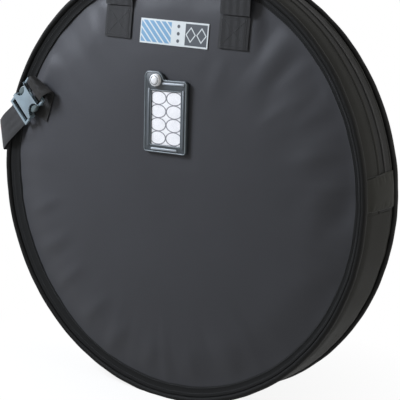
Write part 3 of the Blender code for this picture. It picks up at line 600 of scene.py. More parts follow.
class SurfaceEffects:
    """Node groups for effects that several finishes share, each made once."""

    @staticmethod
    def start(name: str, numbers: Mapping[str, float], outputs: Sequence[str]) -> tuple[Nodes, Mapping, Mapping]:
        """Starts a group that takes a place and numbers, and puts out numbers.

        Args:
            name: The group's name.
            numbers: The number inputs and their values.
            outputs: Names of the outputs.

        Returns:
            The group's node helper, its inputs to read and its outputs to fill.
        """
        tree = bpy.data.node_groups.new(name, "ShaderNodeTree")
        tree.interface.new_socket(name="Place", in_out="INPUT", socket_type="NodeSocketVector")
        for label, value in numbers.items():
            socket = tree.interface.new_socket(name=label, in_out="INPUT", socket_type="NodeSocketFloat")
            socket.default_value = value
        for label in outputs:
            tree.interface.new_socket(name=label, in_out="OUTPUT", socket_type="NodeSocketFloat")
        n = Nodes(tree)
        return n, n.add("NodeGroupInput").outputs, n.add("NodeGroupOutput").inputs

    @staticmethod
    @cache
    def weave() -> bpy.types.NodeTree:
        """Plain weave: the height of crossing threads with uneven thickness."""
        n, source, out = SurfaceEffects.start("weave", {"Pitch": 0.0006}, ["Height"])
        parts = n.split(source["Place"])
        waves = [n.sine_rows(parts[axis], source["Pitch"]) for axis in (0, 1)]
        crossing = n.math("MULTIPLY_ADD", n.math("MULTIPLY", *waves), 0.5, 0.5)
        uneven = n.noise(source["Place"], 900.0)
        n.put(out["Height"], n.math("MULTIPLY_ADD", uneven, 0.5, crossing))
        return n.tree

    @staticmethod
    @cache
    def ribs() -> bpy.types.NodeTree:
        """Webbing: fine rows across the strap in a zigzag."""
        numbers = {"Pitch": 0.0016, "Zigzag": 0.0060}
        n, source, out = SurfaceEffects.start("ribs", numbers, ["Height", "Row"])
        parts = n.split(source["Place"])
        zigzag = n.math("PINGPONG", parts[0], source["Zigzag"])
        rise = n.math("MULTIPLY_ADD", zigzag, 0.5, parts[1])
        row = n.math("MULTIPLY_ADD", n.sine_rows(rise, source["Pitch"]), 0.5, 0.5)
        uneven = n.noise(source["Place"], 600.0)
        n.put(out["Height"], n.math("MULTIPLY_ADD", uneven, 0.6, row))
        n.put(out["Row"], row)
        return n.tree

    @staticmethod
    @cache
    def handling() -> bpy.types.NodeTree:
        """Slow change of tone, and small specks of lint."""
        n, source, out = SurfaceEffects.start("handling", {"Scale": 9.0}, ["Tone", "Lint"])
        slow = n.noise(source["Place"], source["Scale"], 4.0)
        fine = n.noise(source["Place"], 420.0, 3.0, 0.7)
        n.put(out["Tone"], n.ramp(slow, 0.3, 0.7))
        n.put(out["Lint"], n.ramp(fine, 0.72, 0.80))
        return n.tree


@dataclass(frozen=True)
class Finish:
    """What every finish has: a name, a colour and a roughness."""

    name: str
    colour: tuple[float, float, float]
    roughness: float

    def start(self) -> tuple[bpy.types.Material, Nodes, bpy.types.Node]:
        """Starts the finish's material.

        Returns:
            The material, its node helper and its Principled shader.
        """
        material = bpy.data.materials.new(self.name)
        material.use_nodes = True
        material.diffuse_color = self.shade(1.0)
        n = Nodes(material.node_tree)
        shader = material.node_tree.nodes["Principled BSDF"]
        n.set(shader, {"Base Color": self.shade(1.0), "Roughness": self.roughness})
        return material, n, shader

    def shade(self, share: float) -> Colour:
        """The finish's colour, made darker or lighter."""
        return (*[min(1.0, part * share) for part in self.colour], 1.0)


@dataclass(frozen=True)
class Cloth(Finish):
    """Woven nylon: threads with painted shade between them, a soft sheen, slow tone changes and lint."""

    pitch: float = 0.0007
    bump: float = 0.25
    sheen: float = 0.15
    contrast: float = 0.10
    gloss: float = 0.18
    own_map: bool = True
    lint: float = 0.25
    lint_shade: float = 2.2
    thread_gap_painted_shade: float = 0.82
    uneven_roughness: float = 0.05

    def make(self) -> bpy.types.Material:
        """Builds the material."""
        material, n, shader = self.start()
        coordinates = n.add("ShaderNodeTexCoord").outputs
        place = coordinates["UV" if self.own_map else "Object"]
        weave = n.effect(SurfaceEffects.weave(), {"Place": place, "Pitch": self.pitch})
        handling = n.effect(SurfaceEffects.handling(), {"Place": coordinates["Object"]})
        tone = n.mix(handling["Tone"], self.shade(1 - self.contrast), self.shade(1 + self.contrast))
        # Painted shade: the colour between the threads is darkened where the weave's height is low.
        threads = n.mix(n.ramp(weave["Height"], 0.2, 1.1), self.shade(self.thread_gap_painted_shade), tone)
        specks = n.math("MULTIPLY", handling["Lint"], self.lint)
        low, high = self.roughness - self.uneven_roughness, self.roughness + self.uneven_roughness
        n.set(shader, {
            "Base Color": n.mix(specks, threads, self.shade(self.lint_shade)),
            "Roughness": n.ramp(handling["Tone"], 0.0, 1.0, low, high),
            "Specular IOR Level": self.gloss, "Sheen Weight": self.sheen, "Sheen Roughness": 0.4,
        })
        n.bump(shader, weave["Height"], self.pitch * 0.25, self.bump)
        return material


@dataclass(frozen=True)
class Webbing(Finish):
    """Ribbed webbing or woven tape, with painted shade in the rows' hollows and a painted highlight on their crests.
    """

    pitch: float = 0.0016
    bump: float = 0.5
    zigzag: float = 0.0060
    gloss: float = 0.18
    sheen: float = 0.03
    rib_painted_shade_and_highlight: Spot = (0.72, 1.2)
    wear: float = 0.35
    wear_shade: float = 1.35

    def make(self) -> bpy.types.Material:
        """Builds the material."""
        material, n, shader = self.start()
        coordinates = n.add("ShaderNodeTexCoord").outputs
        values = {"Place": coordinates["UV"], "Pitch": self.pitch, "Zigzag": self.zigzag}
        ribs = n.effect(SurfaceEffects.ribs(), values)
        handling = n.effect(SurfaceEffects.handling(), {"Place": coordinates["Object"]})
        # Painted shade and highlight: the rows' hollows are darkened and their crests lightened, following the ribs'
        # height.
        rows = n.mix(ribs["Row"], *[self.shade(share) for share in self.rib_painted_shade_and_highlight])
        worn = n.math("MULTIPLY", handling["Tone"], self.wear)
        n.set(shader, {
            "Base Color": n.mix(worn, rows, self.shade(self.wear_shade)),
            "Specular IOR Level": self.gloss, "Sheen Weight": self.sheen,
        })
        n.bump(shader, ribs["Height"], self.pitch * 0.25, self.bump)
        return material


@dataclass(frozen=True)
class Moulded(Finish):
    """Moulded plastic, rubber, thread or plated metal, with a fine grain and handled spots."""

    metallic: float = 0.0
    grain: float = 1500.0
    bump: float = 0.15
    coat: float = 0.0
    coat_roughness: float = 0.12
    spots: float = 60.0
    spot_shades: Spot = (0.9, 1.12)
    spot_roughness: Spot = (0.8, 1.25)

    def make(self) -> bpy.types.Material:
        """Builds the material."""
        material, n, shader = self.start()
        place = n.add("ShaderNodeTexCoord").outputs["Object"]
        tone = n.effect(SurfaceEffects.handling(), {"Place": place, "Scale": self.spots})["Tone"]
        low, high = [self.roughness * share for share in self.spot_roughness]
        n.set(shader, {
            "Base Color": n.mix(tone, *[self.shade(share) for share in self.spot_shades]),
            "Roughness": n.ramp(tone, 0.0, 1.0, low, high), "Metallic": self.metallic,
            "Coat Weight": self.coat, "Coat Roughness": self.coat_roughness,
        })
        n.bump(shader, n.noise(place, self.grain, 3.0), 0.0002, self.bump)
        return material


@dataclass(frozen=True)
class Printed(Finish):
    """What the card and the label share: a middle that their pattern is centred on."""

    middle: Spot = (0.0, 0.0)

    def flat_place(self, n: Nodes) -> tuple[Mapping[str, Socket], Socket, Socket]:
        """Where a place on the piece is.

        Args:
            n: The material's node helper.

        Returns:
            The piece's coordinates, and how far the place is right of and above the middle.
        """
        coordinates = n.add("ShaderNodeTexCoord").outputs
        parts = n.split(coordinates["Object"])
        x = n.math("SUBTRACT", parts[0], self.middle[0])
        z = n.math("SUBTRACT", parts[2], self.middle[1])
        return coordinates, x, z

    @staticmethod
    def repeated(n: Nodes, place: Socket, size: float) -> Socket:
        """The place within a cell that repeats, from the cell's middle."""
        return n.math("SUBTRACT", n.math("FLOORED_MODULO", place, size), size / 2)


@dataclass(frozen=True)
class PrintedCard(Printed):
    """White card with rows of outlined ovals to write in."""

    tilt: float = 0.0
    cell: Spot = (0.0290, 0.0196)
    line: float = 0.00065
    oval_share: float = 0.97
    ink: Colour = (0.10, 0.10, 0.11, 1.0)

    def make(self) -> bpy.types.Material:
        """Builds the material."""
        material, n, shader = self.start()
        coordinates, x, z = self.flat_place(n)
        turn = radians(self.tilt)
        across = n.math("MULTIPLY_ADD", z, sin(turn), n.math("MULTIPLY", x, cos(turn)))
        up = n.math("MULTIPLY_ADD", x, -sin(turn), n.math("MULTIPLY", z, cos(turn)))
        squares = []
        for moved, size in zip((across, up), self.cell):
            share = n.math("DIVIDE", self.repeated(n, moved, size), size / 2)
            squares.append(n.math("POWER", share, 2.0))
        reach = n.math("SQRT", n.math("ADD", *squares))
        off_line = n.math("ABSOLUTE", n.math("SUBTRACT", reach, self.oval_share))
        width = self.line / (self.cell[1] / 2)
        mask = n.ramp(off_line, width * 0.6, width * 1.4, 1.0, 0.0)
        n.put(shader.inputs["Base Color"], n.mix(mask, self.shade(1.0), self.ink))
        n.bump(shader, n.noise(coordinates["Object"], 700.0, 3.0), 0.0001, 0.1)
        return material


@dataclass(frozen=True)
class WovenLabel(Printed):
    """A label of three woven fields: striped blue, white with dots, and dark with diamonds."""

    size: Spot = (0.123, 0.036)
    border: float = 0.0022
    soft: float = 0.0003
    blue: Colour = (0.16, 0.32, 0.47, 1.0)
    dark: Colour = (0.055, 0.063, 0.070, 1.0)
    blue_edge: float = -0.0045
    dark_edge: float = 0.0205
    stripe_pitch: float = 0.0110
    stripe_width: float = 0.0030
    dot_column: float = 0.0085
    dot_spacing: float = 0.0105
    dot_radius: float = 0.0026
    diamond_middle: float = 0.0493
    diamond_half: Spot = (0.0094, 0.0120)
    diamond_share: float = 0.85
    diamond_line: Spot = (0.07, 0.13)

    def make(self) -> bpy.types.Material:
        """Builds the material."""
        material, n, shader = self.start()
        white = self.shade(1.0)
        coordinates, x, z = self.flat_place(n)
        slant = n.math("FLOORED_MODULO", n.math("ADD", x, z), self.stripe_pitch)
        stripes = n.ramp(n.math("SUBTRACT", slant, self.stripe_width), -self.soft, self.soft, 1.0, 0.0)
        striped = n.mix(stripes, self.blue, white)
        dotted = n.mix(self.dots(n, x, z), white, self.dark)
        field = n.mix(self.diamonds(n, x, z), self.dark, white)
        left_edge = n.ramp(x, self.blue_edge, self.blue_edge + 0.0005)
        right_edge = n.ramp(x, self.dark_edge, self.dark_edge + 0.0005)
        colour = n.mix(right_edge, n.mix(left_edge, striped, dotted), field)
        margins = [n.math("SUBTRACT", whole / 2, n.math("ABSOLUTE", part)) for whole, part in zip(self.size, (x, z))]
        edge = n.ramp(n.math("MINIMUM", *margins), self.border, self.border + 0.0005, 1.0, 0.0)
        n.put(shader.inputs["Base Color"], n.mix(edge, colour, white))
        weave = n.effect(SurfaceEffects.weave(), {"Place": coordinates["UV"]})
        n.bump(shader, weave["Height"], 0.0002, 0.4)
        return material

    def dots(self, n: Nodes, x: Socket, z: Socket) -> Socket:
        """Round dots in one column.

        Args:
            n: The material's node helper.
            x: Distance to the right of the label's middle.
            z: Distance above the middle.

        Returns:
            1 on a dot, 0 off it.
        """
        dx = n.math("SUBTRACT", x, self.dot_column)
        dz = self.repeated(n, n.math("SUBTRACT", z, self.dot_spacing / 2), self.dot_spacing)
        reach = n.math("SQRT", n.math("ADD", n.math("POWER", dx, 2.0), n.math("POWER", dz, 2.0)))
        return n.ramp(reach, self.dot_radius - self.soft, self.dot_radius + self.soft, 1.0, 0.0)

    def diamonds(self, n: Nodes, x: Socket, z: Socket) -> Socket:
        """Outlined diamonds side by side.

        Args:
            n: The material's node helper.
            x: Distance to the right of the label's middle.
            z: Distance above the middle.

        Returns:
            1 on a line, 0 off it.
        """
        half_x, half_z = self.diamond_half
        moved = n.math("SUBTRACT", x, self.diamond_middle - half_x)
        dx = n.math("ABSOLUTE", self.repeated(n, moved, half_x * 2))
        dz = n.math("ABSOLUTE", z)
        reach = n.math("ADD", n.math("DIVIDE", dx, half_x), n.math("DIVIDE", dz, half_z))
        off_line = n.math("ABSOLUTE", n.math("SUBTRACT", reach, self.diamond_share))
        return n.ramp(off_line, *self.diamond_line, 1.0, 0.0)


@dataclass(frozen=True)
class ClearSheet(Finish):
    """A thin clear plastic window."""

    alpha: Spot = (0.03, 0.08)

    def make(self) -> bpy.types.Material:
        """Builds the material."""
        material, n, shader = self.start()
        place = n.add("ShaderNodeTexCoord").outputs["Object"]
        n.put(shader.inputs["Alpha"], n.ramp(n.noise(place, 90.0), 0.3, 0.7, *self.alpha))
        return material


PANEL = Cloth("panel_nylon", (0.0414, 0.0421, 0.0456), 0.46, pitch=0.0008, bump=0.3, sheen=0.02, contrast=0.06)
GUSSET = Cloth("gusset_nylon", (0.0145, 0.0145, 0.0130), 0.66, pitch=0.0008, bump=0.35, sheen=0.015, gloss=0.08)
PATCH = Cloth("patch_nylon", (0.0180, 0.0180, 0.0155), 0.64, pitch=0.0008, bump=0.35, sheen=0.015, gloss=0.08)
EDGE = Webbing("edge_tape", (0.0056, 0.0058, 0.0056), 0.65, pitch=0.0012, bump=0.4, zigzag=0.0030, gloss=0.10)
PIPE = Cloth("piping_cloth", (0.0062, 0.0062, 0.0058), 0.55, pitch=0.0009, bump=0.5, sheen=0.0, gloss=0.10)
LINING = Cloth("lining_cloth", (0.040, 0.040, 0.043), 0.62, pitch=0.0009, bump=0.3, sheen=0.05, own_map=False)
STRAP = Webbing("strap_webbing", (0.031, 0.031, 0.031), 0.58)
CARRY = Webbing("handle_webbing", (0.0125, 0.0125, 0.0125), 0.62)
DARK_STRAP = Webbing("dark_webbing", (0.0120, 0.0115, 0.0105), 0.58)
TAPE = Webbing("zip_tape", (0.0038, 0.0038, 0.0034), 0.7, pitch=0.0010, zigzag=0.0015)
THREAD = Moulded("sewing_thread", (0.020, 0.021, 0.022), 0.7, bump=0.3)
COIL = Moulded("zip_coil", (0.005, 0.005, 0.0046), 0.5)
PLATED = Moulded("dark_plating", (0.16, 0.16, 0.17), 0.3, metallic=1.0)
RUBBER = Moulded("tag_rubber", (0.026, 0.034, 0.039), 0.45, bump=0.3)
RIB = Moulded("tag_rib", (0.078, 0.092, 0.102), 0.40, bump=0.3)
BRIGHT = Moulded("tag_rim", (0.18, 0.21, 0.22), 0.35, bump=0.1)
PALE = Moulded("tag_bar", (0.30, 0.33, 0.35), 0.35, bump=0.1)
# The buckle's acetal: its own dark grey lightened by a painted highlight of its glossy faces.
ACETAL_WITH_PAINTED_HIGHLIGHT = Moulded("buckle_acetal_painted_highlight", (0.176, 0.230, 0.254), 0.22, bump=0.1, coat=0.4)
# Painted shade: the prongs are the buckle's acetal made darker, standing for the shade they lie in.
ACETAL_PAINTED_SHADE = Moulded("prong_acetal_painted_shade", (0.070, 0.096, 0.098), 0.32, bump=0.1)
WHITE = Moulded("white_moulding", (0.71, 0.71, 0.69), 0.35, bump=0.1)


class Wardrobe:
    """Gives each finish one material, and dresses pieces with it."""

    fold_reach = 0.022

    @staticmethod
    @cache
    def material(finish: Finish) -> bpy.types.Material:
        """The finish's material, made once."""
        return finish.make()

    @classmethod
    def dress(
        cls, piece: Piece, finish: Optional[Finish], slot: str, body: Optional[Body], nodes: Iterable[str] = ()
    ) -> Piece:
        """Gives a piece its material and body, hides the solids that it replaces, and reports it.

        Args:
            piece: The piece's object.
            finish: Its finish, or None where it has its material already.
            slot: The record's material slot, which is not used.
            body: The body that it rides on, or None where it is left without one.
            nodes: Names of the solids that it stands for.

        Returns:
            The same piece.
        """
        if finish is not None:
            piece.data.materials.clear()
            piece.data.materials.append(cls.material(finish))
        if body is not None:
            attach(piece, body.value)
        if nodes:
            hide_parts(*nodes)
        LOG.info("%s: %d faces", piece.name, len(piece.data.polygons))
        return piece

    @classmethod
    def fold(cls, piece: Piece) -> None:
        """Bakes a piece's place into its mesh."""
        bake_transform(piece)


class RowMaker:
    """Geometry Nodes that set small pieces along lines."""

    stitch_share = 0.82
    stitch_width = 0.0009
    stitch_seed = 7

    @staticmethod
    def _start(name: str, inputs: Mapping[str, str]) -> tuple[Nodes, Mapping[str, Socket], bpy.types.Node]:
        """Starts a tree that sets points a pitch apart on the lines that come in.

        Args:
            name: The tree's name.
            inputs: Names and kinds of the inputs besides the lines.

        Returns:
            The tree's node helper, its inputs to read and the node that makes the points.
        """
        tree = bpy.data.node_groups.new(name, "GeometryNodeTree")
        tree.interface.new_socket(name="Geometry", in_out="INPUT", socket_type="NodeSocketGeometry")
        for label, kind in inputs.items():
            tree.interface.new_socket(name=label, in_out="INPUT", socket_type="NodeSocket" + kind)
        tree.interface.new_socket(name="Geometry", in_out="OUTPUT", socket_type="NodeSocketGeometry")
        n = Nodes(tree)
        source = n.add("NodeGroupInput").outputs
        curve = n.set(n.add("GeometryNodeMeshToCurve"), {0: source["Geometry"]})
        points = n.add("GeometryNodeCurveToPoints", mode="LENGTH")
        n.set(points, {"Curve": curve.outputs[0], "Length": source["Pitch"]})
        return n, source, points

    @staticmethod
    def _end(n: Nodes, points: bpy.types.Node, radius: float, rotation: Socket, size: Socket, finish: Socket) -> None:
        """Sets a bead on each point, realizes the beads and gives them their material.

        Args:
            n: The tree's node helper.
            points: The node that makes the points.
            radius: The bead's radius before it is sized.
            rotation: How each bead is turned.
            size: The bead's three sizes.
            finish: The material that it gets.
        """
        bead = n.set(n.add("GeometryNodeMeshIcoSphere"), {"Radius": radius, "Subdivisions": 1})
        place = n.set(n.add("GeometryNodeInstanceOnPoints"), {
            "Points": points.outputs["Points"], "Instance": bead.outputs[0], "Rotation": rotation, "Scale": size})
        real = n.set(n.add("GeometryNodeRealizeInstances"), {"Geometry": place.outputs[0]})
        paint = n.set(n.add("GeometryNodeSetMaterial"), {"Geometry": real.outputs[0], "Material": finish})
        n.set(n.add("NodeGroupOutput"), {0: paint.outputs[0]})

    @staticmethod
    @cache
    def stitch_tree() -> bpy.types.NodeTree:
        """Stitches: slim beads of uneven length laid end to end along each line."""
        n, source, points = RowMaker._start("stitch_row", {
            "Pitch": "Float", "Length": "Float", "Width": "Float", "Seed": "Int", "Finish": "Material"})
        random = n.add("FunctionNodeRandomValue", data_type="FLOAT")
        n.set(random, {2: 0.85, 3: 1.1, "Seed": source["Seed"]})
        length = n.math("MULTIPLY", source["Length"], random.outputs[1])
        size = n.combine(source["Width"], source["Width"], length)
        RowMaker._end(n, points, 0.5, points.outputs["Rotation"], size, source["Finish"])
        return n.tree

    @staticmethod
    @cache
    def tooth_tree() -> bpy.types.NodeTree:
        """Zip teeth: small beads along the rim, each turned to face outwards."""
        n, source, points = RowMaker._start("zip_teeth", {
            "Pitch": "Float", "Length": "Float", "Width": "Float", "Height": "Float", "Centre": "Float",
            "Finish": "Material"})
        size = n.combine(source["Height"], source["Width"], source["Length"])
        parts = n.split(n.add("GeometryNodeInputPosition").outputs[0])
        rise = n.math("SUBTRACT", parts[2], source["Centre"])
        turn = n.math("MULTIPLY", n.math("ARCTAN2", rise, parts[0]), -1.0)
        RowMaker._end(n, points, 0.62, n.combine(y=turn), size, source["Finish"])
        return n.tree

    @staticmethod
    def run(name: str, lines: Sequence[Sequence[Vector]], tree: bpy.types.NodeTree, values: Mapping) -> Piece:
        """Runs a tree over lines of points and keeps the plain mesh.

        Args:
            name: The piece's name.
            lines: Lines of points.
            tree: The Geometry Nodes tree.
            values: The tree's inputs by name.

        Returns:
            The finished object.
        """
        mesh = bpy.data.meshes.new(name + "_lines")
        vertices: list = []
        edges: list = []
        for line in lines:
            start = len(vertices)
            vertices.extend(tuple(p) for p in line)
            edges.extend((start + i, start + i + 1) for i in range(len(line) - 1))
        mesh.from_pydata(vertices, edges, [])
        carrier = linked(name + "_lines", mesh)
        modifier = carrier.modifiers.new("rows", "NODES")
        modifier.node_group = tree
        for item in tree.interface.items_tree:
            if item.in_out == "INPUT" and item.name in values:
                modifier[item.identifier] = values[item.name]
        result = evaluated_mesh(carrier)
        result.name = name
        result.shade_smooth()
        bpy.data.objects.remove(carrier)
        return linked(name, result)

    @classmethod
    def stitches(cls, name: str, lines: Sequence, slot: str, body: Body, pitch: float = 0.0036) -> None:
        """Rows of thread on one body.

        Args:
            name: The piece's name.
            lines: Lines of points that the thread follows.
            slot: The record's material slot.
            body: The body that the thread rides on.
            pitch: From one stitch to the next.
        """
        values = {"Pitch": pitch, "Length": pitch * cls.stitch_share, "Width": cls.stitch_width,
                  "Seed": cls.stitch_seed, "Finish": Wardrobe.material(THREAD)}
        Wardrobe.dress(cls.run(name, lines, cls.stitch_tree(), values), None, slot, body)


@dataclass(frozen=True)
class Fold:
    """A soft fold of the front cloth between two places on the disc, in metres from its centre."""

    start: Spot
    end: Spot
    width: float
    height: float
    bend: float = 0.12

    def rise(self, x: float, z: float) -> float:
        """The fold's height at a place on the cloth.

        Args:
            x: Distance to the right of the disc's centre.
            z: Distance above it.

        Returns:
            The height, under zero in a hollow.
        """
        ax, az = self.start
        bx, bz = self.end
        length = hypot(bx - ax, bz - az)
        along = ((x - ax) * (bx - ax) + (z - az) * (bz - az)) / length**2
        across = ((x - ax) * (bz - az) - (z - az) * (bx - ax)) / length
        bent = across + self.bend * length * (along - 0.5) ** 2
        ends = smoothstep(along / 0.35) * smoothstep((1.0 - along) / 0.5)
        return self.height * ends * exp(-((bent / self.width) ** 2))


@dataclass(frozen=True)
class Panels:
    """The front and rear padded panels with their edge tapes and pipings.

    The calm spots are what is sewn on the front: middle across and up, and half of each size.
    """

    columns: int = 288
    calm_margin: float = 0.022
    softness: float = 0.62
    crease_unit: float = 0.001
    fill: float = 0.8
    tape_thickness: float = 0.0016
    tape_shares: tuple[float, ...] = (0.0, 0.06, 0.25, 0.5, 0.75, 0.94, 1.0)
    tape_lift: tuple[float, ...] = (0.0004, 0.0014, 0.0021, 0.0019, 0.0022, 0.0014, 0.0002)
    seam_insets: Spot = (0.0018, 0.0045)
    seam_lift: float = 0.0020
    calm_spots: tuple[tuple[float, float, float, float], ...] = (
        (0.0, 0.225, 0.066, 0.022), (-0.1036, 0.2345, 0.028, 0.028), (0.1036, 0.2345, 0.028, 0.028),
        (-0.0025, 0.110, 0.042, 0.068), (-0.262, 0.100, 0.045, 0.050),
    )
    folds: tuple[Fold, ...] = (
        Fold((0.192, 0.262), (0.128, 0.110), 0.015, 0.0008),
        Fold((0.216, 0.240), (0.146, 0.120), 0.013, -0.0021),
        Fold((0.246, 0.215), (0.140, 0.080), 0.015, 0.0017),
        Fold((0.262, 0.190), (0.190, 0.090), 0.010, -0.0014),
        Fold((0.292, 0.130), (0.200, 0.030), 0.020, 0.0024),
        Fold((0.306, 0.070), (0.215, -0.030), 0.018, 0.0030),
        Fold((0.309, 0.020), (0.240, -0.060), 0.013, -0.0020),
        Fold((0.300, -0.060), (0.215, -0.130), 0.020, 0.0022),
        Fold((0.060, 0.206), (0.012, 0.150), 0.009, 0.0014),
        Fold((0.092, 0.200), (0.066, 0.120), 0.013, 0.0014),
        Fold((-0.275, 0.128), (-0.190, 0.190), 0.010, 0.0016),
        Fold((-0.160, 0.255), (-0.150, 0.150), 0.014, 0.0016),
        Fold((-0.285, -0.090), (-0.200, -0.050), 0.009, 0.0026),
        Fold((-0.262, -0.150), (-0.170, -0.100), 0.011, 0.0038),
        Fold((-0.225, -0.205), (-0.140, -0.140), 0.011, 0.0040),
        Fold((-0.170, -0.252), (-0.090, -0.180), 0.012, 0.0040),
        Fold((-0.110, -0.285), (-0.050, -0.210), 0.012, 0.0034),
        Fold((-0.040, -0.300), (0.000, -0.230), 0.015, 0.0026),
        Fold((0.050, -0.300), (0.060, -0.225), 0.015, 0.0022),
        Fold((0.140, -0.268), (0.110, -0.190), 0.016, 0.0024),
    )

    def calm(self, x: float, z: float) -> float:
        """How free the cloth is to crease.

        Args:
            x: Distance to the right of the disc's centre.
            z: Distance above it.

        Returns:
            0 under what is sewn on, 1 well away from it.
        """
        free = 1.0
        for middle_x, middle_z, half_x, half_z in self.calm_spots:
            away = hypot(max(abs(x - middle_x) - half_x, 0.0), max(abs(z - middle_z) - half_z, 0.0))
            free *= smoothstep(away / self.calm_margin)
        return free

    def crease(self, x: float, z: float) -> float:
        """How far the front cloth stands in or out of its crown.

        Args:
            x: Distance to the right of the disc's centre.
            z: Distance above it.

        Returns:
            The distance outwards.
        """
        radius = hypot(x, z)
        turn = atan2(z, x)
        from_tape = SIZES.border_inner - radius
        near_edge = smoothstep((radius - 0.17) / 0.10) * smoothstep(from_tape / 0.016 + 0.5)
        right = smoothstep((cos(turn - radians(35)) + 0.1) / 0.9)
        spokes = ring_noise(turn, 6.5, radius * 3.0)
        fine = ring_noise(turn, 15.0, 4.0 + radius * 6.0)
        slow = noise.noise(Vector((x * 5.5 + 3.1, z * 5.5, 1.7)))
        rim = near_edge * (spokes * (1.2 + 0.5 * right) + fine * (0.8 + 0.3 * right))
        folded = sum(fold.rise(x, z) for fold in self.folds) * smoothstep(from_tape / 0.02 + 0.4)
        free = self.calm(x, z)
        sunk = SIZES.dip(radius) * max(free, smoothstep((radius - 0.284) / 0.014))
        return ((rim + slow * 1.3) * self.crease_unit + folded * self.softness) * free - sunk

    def outward(self, face: Face, x: float, z: float) -> float:
        """How far a panel's cloth stands out, with its creases.

        Args:
            face: The front or the rear panel.
            x: Distance to the right of the disc's centre.
            z: Distance above it.

        Returns:
            The distance from the disc's middle plane.
        """
        radius = hypot(x, z)
        if face is Face.FRONT:
            return SIZES.depth(face, radius) + self.crease(x, z)
        calmer = self.crease(-x, z) * 0.5 * smoothstep((radius - 0.20) / 0.05)
        return SIZES.depth(face, radius) + calmer + SIZES.dip(radius) * 0.5

    def disc(self, name: str, face: Face) -> Piece:
        """A padded disc: a creased crown, a tucked edge and a flat inner face.

        Args:
            name: The piece's name.
            face: The front or the rear panel.

        Returns:
            The linked object.
        """
        edge = SIZES.panel_radius
        radii = [edge * share for share in (0.006, 0.03, 0.06)]
        radii += spread(0.09 * edge, 0.90 * edge, 0.0065)
        radii += spread(0.91 * edge, 0.995 * edge, 0.0035)
        turns = circle(self.columns)
        rows = []
        for radius in radii:
            places = [(radius * cos(t), radius * sin(t)) for t in turns]
            rows.append([(x, face * self.outward(face, x, z), z + CENTRE.z) for x, z in places])
        inner = SIZES.padding_inner
        tucked = ((edge, SIZES.panel_edge - 0.0018), (edge - 0.001, inner + 0.001), (edge - 0.004, inner),
                  (edge * 0.5, inner), (edge * 0.01, inner))
        for radius, y in tucked:
            rows.append([(radius * cos(t), face * y, radius * sin(t) + CENTRE.z) for t in turns])
        return MeshShop.sweep(name, rows, flat_map=True, sharp=70.0)

    def edge_tape(self, name: str, face: Face) -> Piece:
        """The flat tape between a panel and its piping.

        Args:
            name: The piece's name.
            face: The front or the rear panel.

        Returns:
            The linked object.
        """
        outer = SIZES.panel_radius + 0.0006
        inner = SIZES.border_inner
        upper = []
        for share, height in zip(self.tape_shares, self.tape_lift):
            radius = inner + (outer - inner) * share
            upper.append((radius, face * (SIZES.depth(face, radius) + height - SIZES.sunk(face, radius))))
        lower = [(r, y - face * self.tape_thickness) for r, y in reversed(upper)]
        return MeshShop.arc(name, upper + lower, 0.0, FULL_TURN, 1.25, self.unevenness(face))

    def unevenness(self, face: Face) -> Ripple:
        """How the edge tape of a face is drawn in."""
        return self.drift if face is Face.FRONT else self.gather

    @staticmethod
    def gather(angle: float, radius: float, y: float) -> float:
        """A slight unevenness along a sewn edge."""
        return 0.0006 * ring_noise(radians(angle), 14, y * 60)

    def drift(self, angle: float, radius: float, y: float) -> float:
        """The unevenness of the front edge tape, whose inner edge lies nearer to the rim at the right."""
        inward = (SIZES.panel_radius - radius) / (SIZES.panel_radius - SIZES.border_inner)
        return self.gather(angle, radius, y) + SIZES.border_shift * cos(radians(angle - 20.0)) * max(inward, 0.0)

    def piping(self, name: str, face: Face) -> Piece:
        """Cloth piping round one edge."""
        size = SIZES.piping_radius
        middle = SIZES.radius - size
        profile = [(middle + size * cos(t), face * SIZES.piping_place + size * sin(t)) for t in circle(12)]
        return MeshShop.arc(name, profile, 0.0, FULL_TURN, 1.0, self.gather, sharp=80.0)

    def border_seam(self, start: float, end: float, face: Face) -> list[list[Vector]]:
        """The two rows of stitches in an edge tape.

        Args:
            start: First angle in degrees.
            end: Last angle in degrees.
            face: The front or the rear panel.

        Returns:
            The two lines.
        """
        moved = self.unevenness(face)
        lines = []
        for radius in (SIZES.border_inner + self.seam_insets[0], SIZES.panel_radius - self.seam_insets[1]):
            y = face * (SIZES.depth(face, radius) + self.seam_lift - SIZES.sunk(face, radius))
            lines.append([on_rim(radius + moved(a, radius, y), a, y) for a in spread(start, end, 1.0)])
        return lines

    def build(self) -> None:
        """Makes the panels and what edges them."""
        halves = [f"front_panel_{part}_{layer}" for part in ("upper", "lower") for layer in ("cover", "foam")]
        kinds = (
            ("panel", self.disc, PANEL, "panel_nylon", (halves, ["rear_panel_cover", "rear_panel_foam"])),
            ("edge_tape", self.edge_tape, EDGE, "piping", ((), ())),
            ("piping", self.piping, PIPE, "piping", (["piping_front_upper", "piping_front_lower"], ["piping_rear"])),
        )
        for kind, make, finish, slot, nodes in kinds:
            for face, body, replaced in zip(Face, (None, Body.SHELL), nodes):
                made = make(f"{face.name.lower()}_{kind}", face)
                piece = Wardrobe.dress(made, finish, slot, body, replaced)
                if body is None:
                    Wardrobe.fold(piece)
        RowMaker.stitches("lid_border_stitches", self.border_seam(5.0, 175.0, Face.FRONT), "piping", Body.LID)
        lower = self.border_seam(185.0, 355.0, Face.FRONT) + self.border_seam(0.0, 359.0, Face.REAR)
        RowMaker.stitches("shell_border_stitches", lower, "piping", Body.SHELL)


